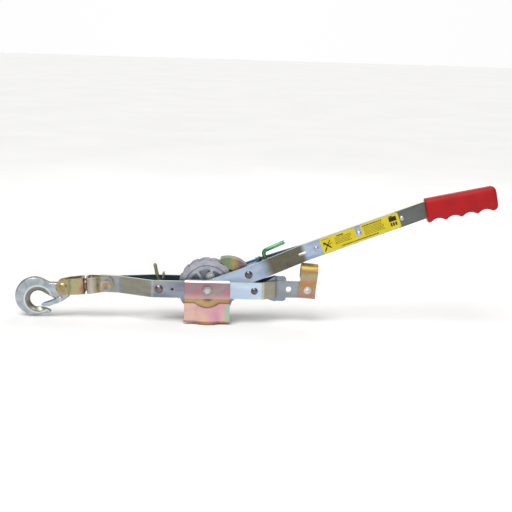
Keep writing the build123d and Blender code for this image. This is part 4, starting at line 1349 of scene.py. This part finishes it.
@dataclass
class Studio:
    """Pale floor, soft lights and the camera."""

    floor_z: float
    aim: Vector = field(default_factory=lambda: Vector((0.0721, 0.0, 0.0491)))
    distance: float = 1.8
    azimuth: float = 2.16
    elevation: float = 10.9
    roll: float = 1.79
    view_width: float = 0.771549

    def build(self) -> None:
        """Makes the floor, the lights and the camera."""
        self.floor()
        self.sky()
        self.sun()
        self.area("front", (0.2, -1.5, 1.1), 0.5, 3.5)
        self.area("back", (0.2, 1.3, 1.2), 0.8, 4.0)
        self.camera()
        bpy.context.scene.view_settings.view_transform = "Standard"

    def floor(self) -> None:
        """A wide pale plane under the lowest piece."""
        half = 14.0
        corners = np.array([(-half, -half, 0), (half, -half, 0), (half, half, 0), (-half, half, 0)])
        plane = make_piece("floor", corners + (0, 0, self.floor_z), [[0, 1, 2, 3]], False)
        shader = Shader("floor_paint")
        cloud = shader.noise(shader.mapped(), 3.0)
        shader.link(shader.ramp(cloud, ((0.3, (0.90, 0.90, 0.90)), (0.7, (0.94, 0.94, 0.94)))),
                    shader.surface.inputs["Base Color"])
        shader.surface.inputs["Roughness"].default_value = 0.85
        plane.data.materials.append(shader.material)
        plane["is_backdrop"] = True

    def sky(self) -> None:
        """Surroundings: white round the horizon, greyer overhead, warmer and darker to both sides."""
        world = bpy.data.worlds.new("studio")
        world.use_nodes = True
        nodes, links = world.node_tree.nodes, world.node_tree.links
        way = nodes.new("ShaderNodeTexCoord")
        parts = nodes.new("ShaderNodeSeparateXYZ")
        links.new(way.outputs["Generated"], parts.inputs[0])
        height = nodes.new("ShaderNodeValToRGB")
        greys = ((0.0, 1.0), (0.14, 1.0), (0.45, 0.50))
        for element, (place, grey) in zip(self._stops(height.color_ramp, 3), greys):
            element.position, element.color = place, (grey, grey, grey, 1)
        links.new(parts.outputs["Z"], height.inputs[0])
        sideways = nodes.new("ShaderNodeMath")
        sideways.operation = "ABSOLUTE"
        links.new(parts.outputs["X"], sideways.inputs[0])
        turn = nodes.new("ShaderNodeValToRGB")
        tones = ((0.0, (1.0, 1.0, 1.0)), (0.45, (0.97, 0.97, 0.97)), (0.72, (0.40, 0.37, 0.32)))
        for element, (place, tone) in zip(self._stops(turn.color_ramp, 3), tones):
            element.position, element.color = place, (*tone, 1)
        links.new(sideways.outputs[0], turn.inputs[0])
        both = nodes.new("ShaderNodeMix")
        both.data_type, both.blend_type = "RGBA", "MULTIPLY"
        both.inputs[0].default_value = 1.0
        links.new(height.outputs["Color"], both.inputs[6])
        links.new(turn.outputs["Color"], both.inputs[7])
        back = nodes["Background"]
        links.new(both.outputs[2], back.inputs["Color"])
        back.inputs["Strength"].default_value = 1.0
        bpy.context.scene.world = world

    def _stops(self, band: bpy.types.ColorRamp, count: int) -> bpy.types.bpy_prop_collection:
        """A ramp's stops, made up to the count.

        Args:
            band: the ramp.
            count: how many stops it needs.

        Returns:
            The ramp's stops.
        """
        while len(band.elements) < count:
            band.elements.new(0.5)
        return band.elements

    def sun(self) -> None:
        """A broad even light from the front left, high up."""
        light = bpy.data.lights.new("sun", "SUN")
        light.energy, light.angle = 2.1, math.radians(40)
        lamp = bpy.data.objects.new("sun", light)
        lamp.rotation_euler = Vector((0.5, 0.9, -1.9)).to_track_quat("-Z", "Y").to_euler()
        bpy.context.scene.collection.objects.link(lamp)

    def area(self, name: str, place: tuple[float, float, float], size: float, power: float) -> None:
        """A square soft light that looks at the tool.

        Args:
            name: the lamp's name.
            place: where it hangs.
            size: its side in metres.
            power: its power in watts.
        """
        light = bpy.data.lights.new(name, "AREA")
        light.size = size
        light.energy = power
        lamp = bpy.data.objects.new(name, light)
        lamp.location = place
        lamp.rotation_euler = (self.aim - Vector(place)).to_track_quat("-Z", "Y").to_euler()
        bpy.context.scene.collection.objects.link(lamp)

    def camera(self) -> None:
        """Looks along +Y, a little down and rolled, from the stated distance."""
        azimuth, elevation = math.radians(self.azimuth), math.radians(self.elevation)
        ahead = Vector((math.sin(azimuth) * math.cos(elevation), math.cos(azimuth) * math.cos(elevation),
                        -math.sin(elevation)))
        right = Vector((math.cos(azimuth), -math.sin(azimuth), 0))
        above = right.cross(ahead)
        roll = math.radians(self.roll)
        right, above = (right * math.cos(roll) + above * math.sin(roll),
                        above * math.cos(roll) - right * math.sin(roll))
        eye = bpy.data.cameras.new("camera")
        eye.sensor_width = 36.0
        eye.lens = eye.sensor_width * self.distance / self.view_width
        eye.clip_end = 60
        camera = bpy.data.objects.new("camera", eye)
        camera.matrix_world = Matrix.Translation(self.aim - ahead * self.distance) @ Matrix(
            (right, above, -ahead)).transposed().to_4x4()
        bpy.context.scene.collection.objects.link(camera)
        bpy.context.scene.camera = camera


def main() -> None:
    """Builds every piece round the frame."""
    logging.basicConfig(level=logging.INFO, format="%(message)s")
    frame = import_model()
    frame_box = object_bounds()
    places = Places(frame)
    angle = places.handle_angle
    Studio(floor_z=frame_box[0][2] - 0.0002).build()

    # Painted reflection and shade along the frame straps: bright blue where they face forwards, tan on the
    # bent stretches, light and dark seams at the bend lines.
    frame_painted_light = (PaintedLightZone(-0.20, -0.131, (0.35, 0.37, 0.38)),
                   PaintedLightZone(-0.132, -0.082, (0.31, 0.31, 0.25), 0.003, 0.005),
                   PaintedLightZone(-0.0845, -0.0795, (0.46, 0.45, 0.38)), PaintedLightZone(0.030, 0.083, (0.60, 0.74, 0.90)),
                   PaintedLightZone(0.081, 0.107, (0.42, 0.40, 0.32), 0.003, 0.006),
                   PaintedLightZone(0.0812, 0.0862, (0.66, 0.61, 0.48)), PaintedLightZone(0.1010, 0.1060, (0.24, 0.24, 0.20)),
                   PaintedLightZone(0.102, 0.20, (0.33, 0.37, 0.40), 0.005))
    frame_zinc = Zinc("frame_zinc", light=(0.33, 0.35, 0.41), dark=(0.20, 0.22, 0.28),
                      inner_shade=(0.06, 0.13, 0.17), zones=frame_painted_light).make()
    # Painted shade on the handle straps: dark olive on the converging bend and darker towards the grip.
    handle_painted_light = (PaintedLightZone(0.086, 0.160, (0.16, 0.15, 0.11), 0.018, 0.010),
                    PaintedLightZone(0.300, 0.5, (0.16, 0.17, 0.16), 0.006))
    handle_zinc = Zinc("handle_zinc", light=(0.42, 0.52, 0.66), dark=(0.28, 0.36, 0.48),
                       inner_shade=(0.10, 0.34, 0.50), turn=-angle, zones=handle_painted_light).make()
    dress(frame, frame_zinc, "frame_strap_near", "frame_strap_far")
    dress(frame, handle_zinc, "handle_strap_near", "handle_strap_far")
    gusset_zinc = Zinc("gusset_zinc", light=(0.36, 0.42, 0.52), dark=(0.22, 0.27, 0.36),
                       inner_shade=(0.10, 0.13, 0.18), edge=(0.30, 0.32, 0.34)).make()
    dress(frame, gusset_zinc, "rear_gusset_near", "rear_gusset_far")
    bolt = Forged("bolt_zinc", light=(0.62, 0.62, 0.60), dark=(0.34, 0.34, 0.34), depth=0.0002).make()
    copper = Forged("passivated_bolt", light=(0.50, 0.26, 0.10), dark=(0.30, 0.15, 0.06),
                    depth=0.0002).make()
    dress(frame, copper, "nose_bolt")
    dress(frame, bolt, "axle", "axle_spacers", "holding_pawl_spacers", "rear_spacer", "nose_washer",
          "guide_rivet", "wheel_rivets", "handle_rivets", "pawl_spacers", "swivel_rivet", "latch_rivet")
    dress(frame, Forged("nut_zinc", light=(0.42, 0.42, 0.41), dark=(0.20, 0.20, 0.20), depth=0.0002).make(),
          "axle_nuts", "nose_nut")
    dull = Forged("dull_rivet", light=(0.21, 0.18, 0.18), dark=(0.11, 0.09, 0.10), rough=(0.16, 0.30),
                  depth=0.0002).make()
    dress(frame, dull, "holding_pawl_pin", "rear_rivet", "pawl_rivet", "swivel_washer")
    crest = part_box("wheel_near_half")[1][2]
    cast = CastMetal("cast_wheel", crest=crest, floor=0.0045).make()
    dress(frame, cast, "wheel_near_half", "wheel_far_half")
    dress(frame, Forged("bush_metal", light=(0.70, 0.58, 0.32), dark=(0.5, 0.4, 0.22)).make(), "wheel_bush")
    # Chromate tints along X, with painted highlight and shade bands where the brackets bend.
    for node, tints in (("hook_bracket", ((0.00, (0.30, 0.17, 0.07)), (0.10, (0.42, 0.30, 0.13)),
                                          (0.40, (0.40, 0.34, 0.17)), (0.48, (0.26, 0.24, 0.12)),
                                          (0.56, (0.40, 0.40, 0.24)), (0.84, (0.44, 0.36, 0.20)),
                                          (0.93, (0.36, 0.19, 0.10)), (1.00, (0.20, 0.12, 0.08)))),
                        ("frame_bracket", ((0.00, (0.30, 0.20, 0.11)), (0.10, (0.42, 0.34, 0.19)),
                                           (0.24, (0.52, 0.50, 0.46)), (0.38, (0.38, 0.34, 0.20)),
                                           (0.46, (0.24, 0.19, 0.10)), (0.56, (0.40, 0.38, 0.28)),
                                           (0.80, (0.36, 0.37, 0.33)), (1.00, (0.34, 0.26, 0.15))))):
        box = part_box(node)
        finish = BandedChromate(f"{node}_chromate", "X", box[0][0], box[1][0], tints, wander=0.14)
        dress(frame, finish.make(), node)
    dress(frame, Chromate("pin_chromate", ((0.32, (0.30, 0.24, 0.12)), (0.62, (0.42, 0.42, 0.26))),
                          scale=90.0, edge=(0.44, 0.40, 0.28)).make(), "hook_pin")
    guide_low, guide_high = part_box("rope_guide")[0][2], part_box("rope_guide")[1][2]
    # Chromate tints by height, with painted highlight and reflection bands across the curl.
    guide_tints_and_highlights = ((0.00, (0.42, 0.22, 0.15)), (0.24, (0.46, 0.27, 0.20)), (0.36, (0.44, 0.28, 0.08)),
                   (0.44, (0.50, 0.24, 0.12)), (0.56, (0.50, 0.32, 0.22)), (0.66, (0.34, 0.42, 0.22)),
                   (0.76, (0.44, 0.22, 0.13)), (0.84, (0.36, 0.24, 0.05)), (0.90, (0.52, 0.38, 0.10)),
                   (1.00, (0.20, 0.13, 0.04)))
    guide = BandedChromate("guide_chromate", "Z", guide_low, guide_high, guide_tints_and_highlights).make()
    dress(frame, guide, "rope_guide")
    dress(frame, BandedChromate("drive_pawl_chromate", "X", 0.017, 0.090,
                                ((0.00, (0.16, 0.21, 0.11)), (0.22, (0.21, 0.27, 0.14)),
                                 (0.31, (0.38, 0.29, 0.14)), (0.37, (0.30, 0.22, 0.13)),
                                 (0.43, (0.20, 0.13, 0.16)), (0.54, (0.24, 0.15, 0.21)),
                                 (0.62, (0.12, 0.30, 0.44)), (0.78, (0.12, 0.32, 0.46)),
                                 (0.84, (0.05, 0.06, 0.06))), wander=0.05).make(), "drive_pawl")
    dress(frame, Forged("black_steel", light=(0.20, 0.21, 0.23), dark=(0.05, 0.05, 0.06), rough=(0.2, 0.4),
                        depth=0.0002).make(), "holding_pawl")
    green = Chromate("green_rod", ((0.35, (0.04, 0.16, 0.07)), (0.62, (0.14, 0.38, 0.20))), scale=80.0).make()
    dress(frame, green, "drive_pawl_lever")
    olive = Chromate("olive_rod", ((0.35, (0.16, 0.18, 0.07)), (0.62, (0.32, 0.34, 0.17))), scale=80.0).make()
    dress(frame, olive, "release_trigger")
    pin = places.joint("hook_pivot")
    forged = Forged("forged_zinc", light=(0.47, 0.52, 0.56), dark=(0.29, 0.33, 0.37), depth=0.0003,
                    bowl_shade_at=(pin.x - 0.0374, 0.0, pin.z - 0.0199)).make()
    sheet = Forged("latch_zinc", light=(0.46, 0.53, 0.58), dark=(0.25, 0.30, 0.34), depth=0.0002).make()
    dress(frame, forged, "hook")
    dress(frame, sheet, "latch")
    dress(frame, Vinyl("label_yellow", (0.66, 0.54, 0.018), (0.60, 0.48, 0.015), 0.45).make(), "handle_label")

    wire = Forged("spring_wire", light=(0.30, 0.30, 0.33), dark=(0.16, 0.16, 0.18), depth=0.0001).make()
    guard_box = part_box("rope_guard_near")
    guard_finish = GuardChromate("guard_chromate", guard_box[1][0], -0.0137, -0.0187,
                                 -0.048).make()
    red = Vinyl("red_vinyl", (0.40, 0.003, 0.006), (0.34, 0.002, 0.005), 0.50).make()
    ink = Vinyl("label_ink", (0.020, 0.020, 0.022), (0.012, 0.012, 0.014), 0.5).make()
    label_face = -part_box("handle_label")[0][1]
    built = [Grip(places, red).build(), ForgedHook(places, frame["nodes"]["hook"], forged).build(),
             SheetLatch(places, sheet).build(), LabelPrint(places, ink, label_face).build()]
    for side in Side:
        built.append(RopeGuard(guard_finish, side, strap_in=0.020, outer=0.026, top=guard_box[1][2],
                               depth=0.048, half_width=guard_box[1][0]).build())
    pivot = places.joint("drive_pawl_lift")
    along = np.array([math.cos(angle), 0, math.sin(angle)])
    built.append(Spring("drive_spring_coil", "drive_pawl_spring", "drive_pawl", wire, np.array(pivot),
                        -0.0062, 0.0061, along * 0.018, angle + math.pi / 2).build())
    hold = places.joint("holding_pawl_lift")
    built.append(Spring("holding_spring_coil", "holding_pawl_spring", "holding_pawl", wire, np.array(hold),
                        -0.0152, -0.0112, np.array([0, 0, 0.016]), 0.0).build())
    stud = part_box("axle")
    for side, edge in ((Side.NEAR, stud[0][1]), (Side.FAR, stud[1][1])):
        built.append(Thread(side.label("axle_thread"), bolt, 0.0, 0.0, edge - side.value * 0.0004,
                            edge - side.value * 0.0068).build())
    nose = places.joint("bracket_pivot")
    nose_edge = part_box("nose_bolt")[0][1]
    built.append(Thread("nose_thread", bolt, nose.x, nose.z, nose_edge + 0.0004, nose_edge + 0.0068).build())

    for piece in built:
        LOG.info("piece %s: %d vertices", piece.name, len(piece.data.vertices))


if __name__ == "__main__":
    main()
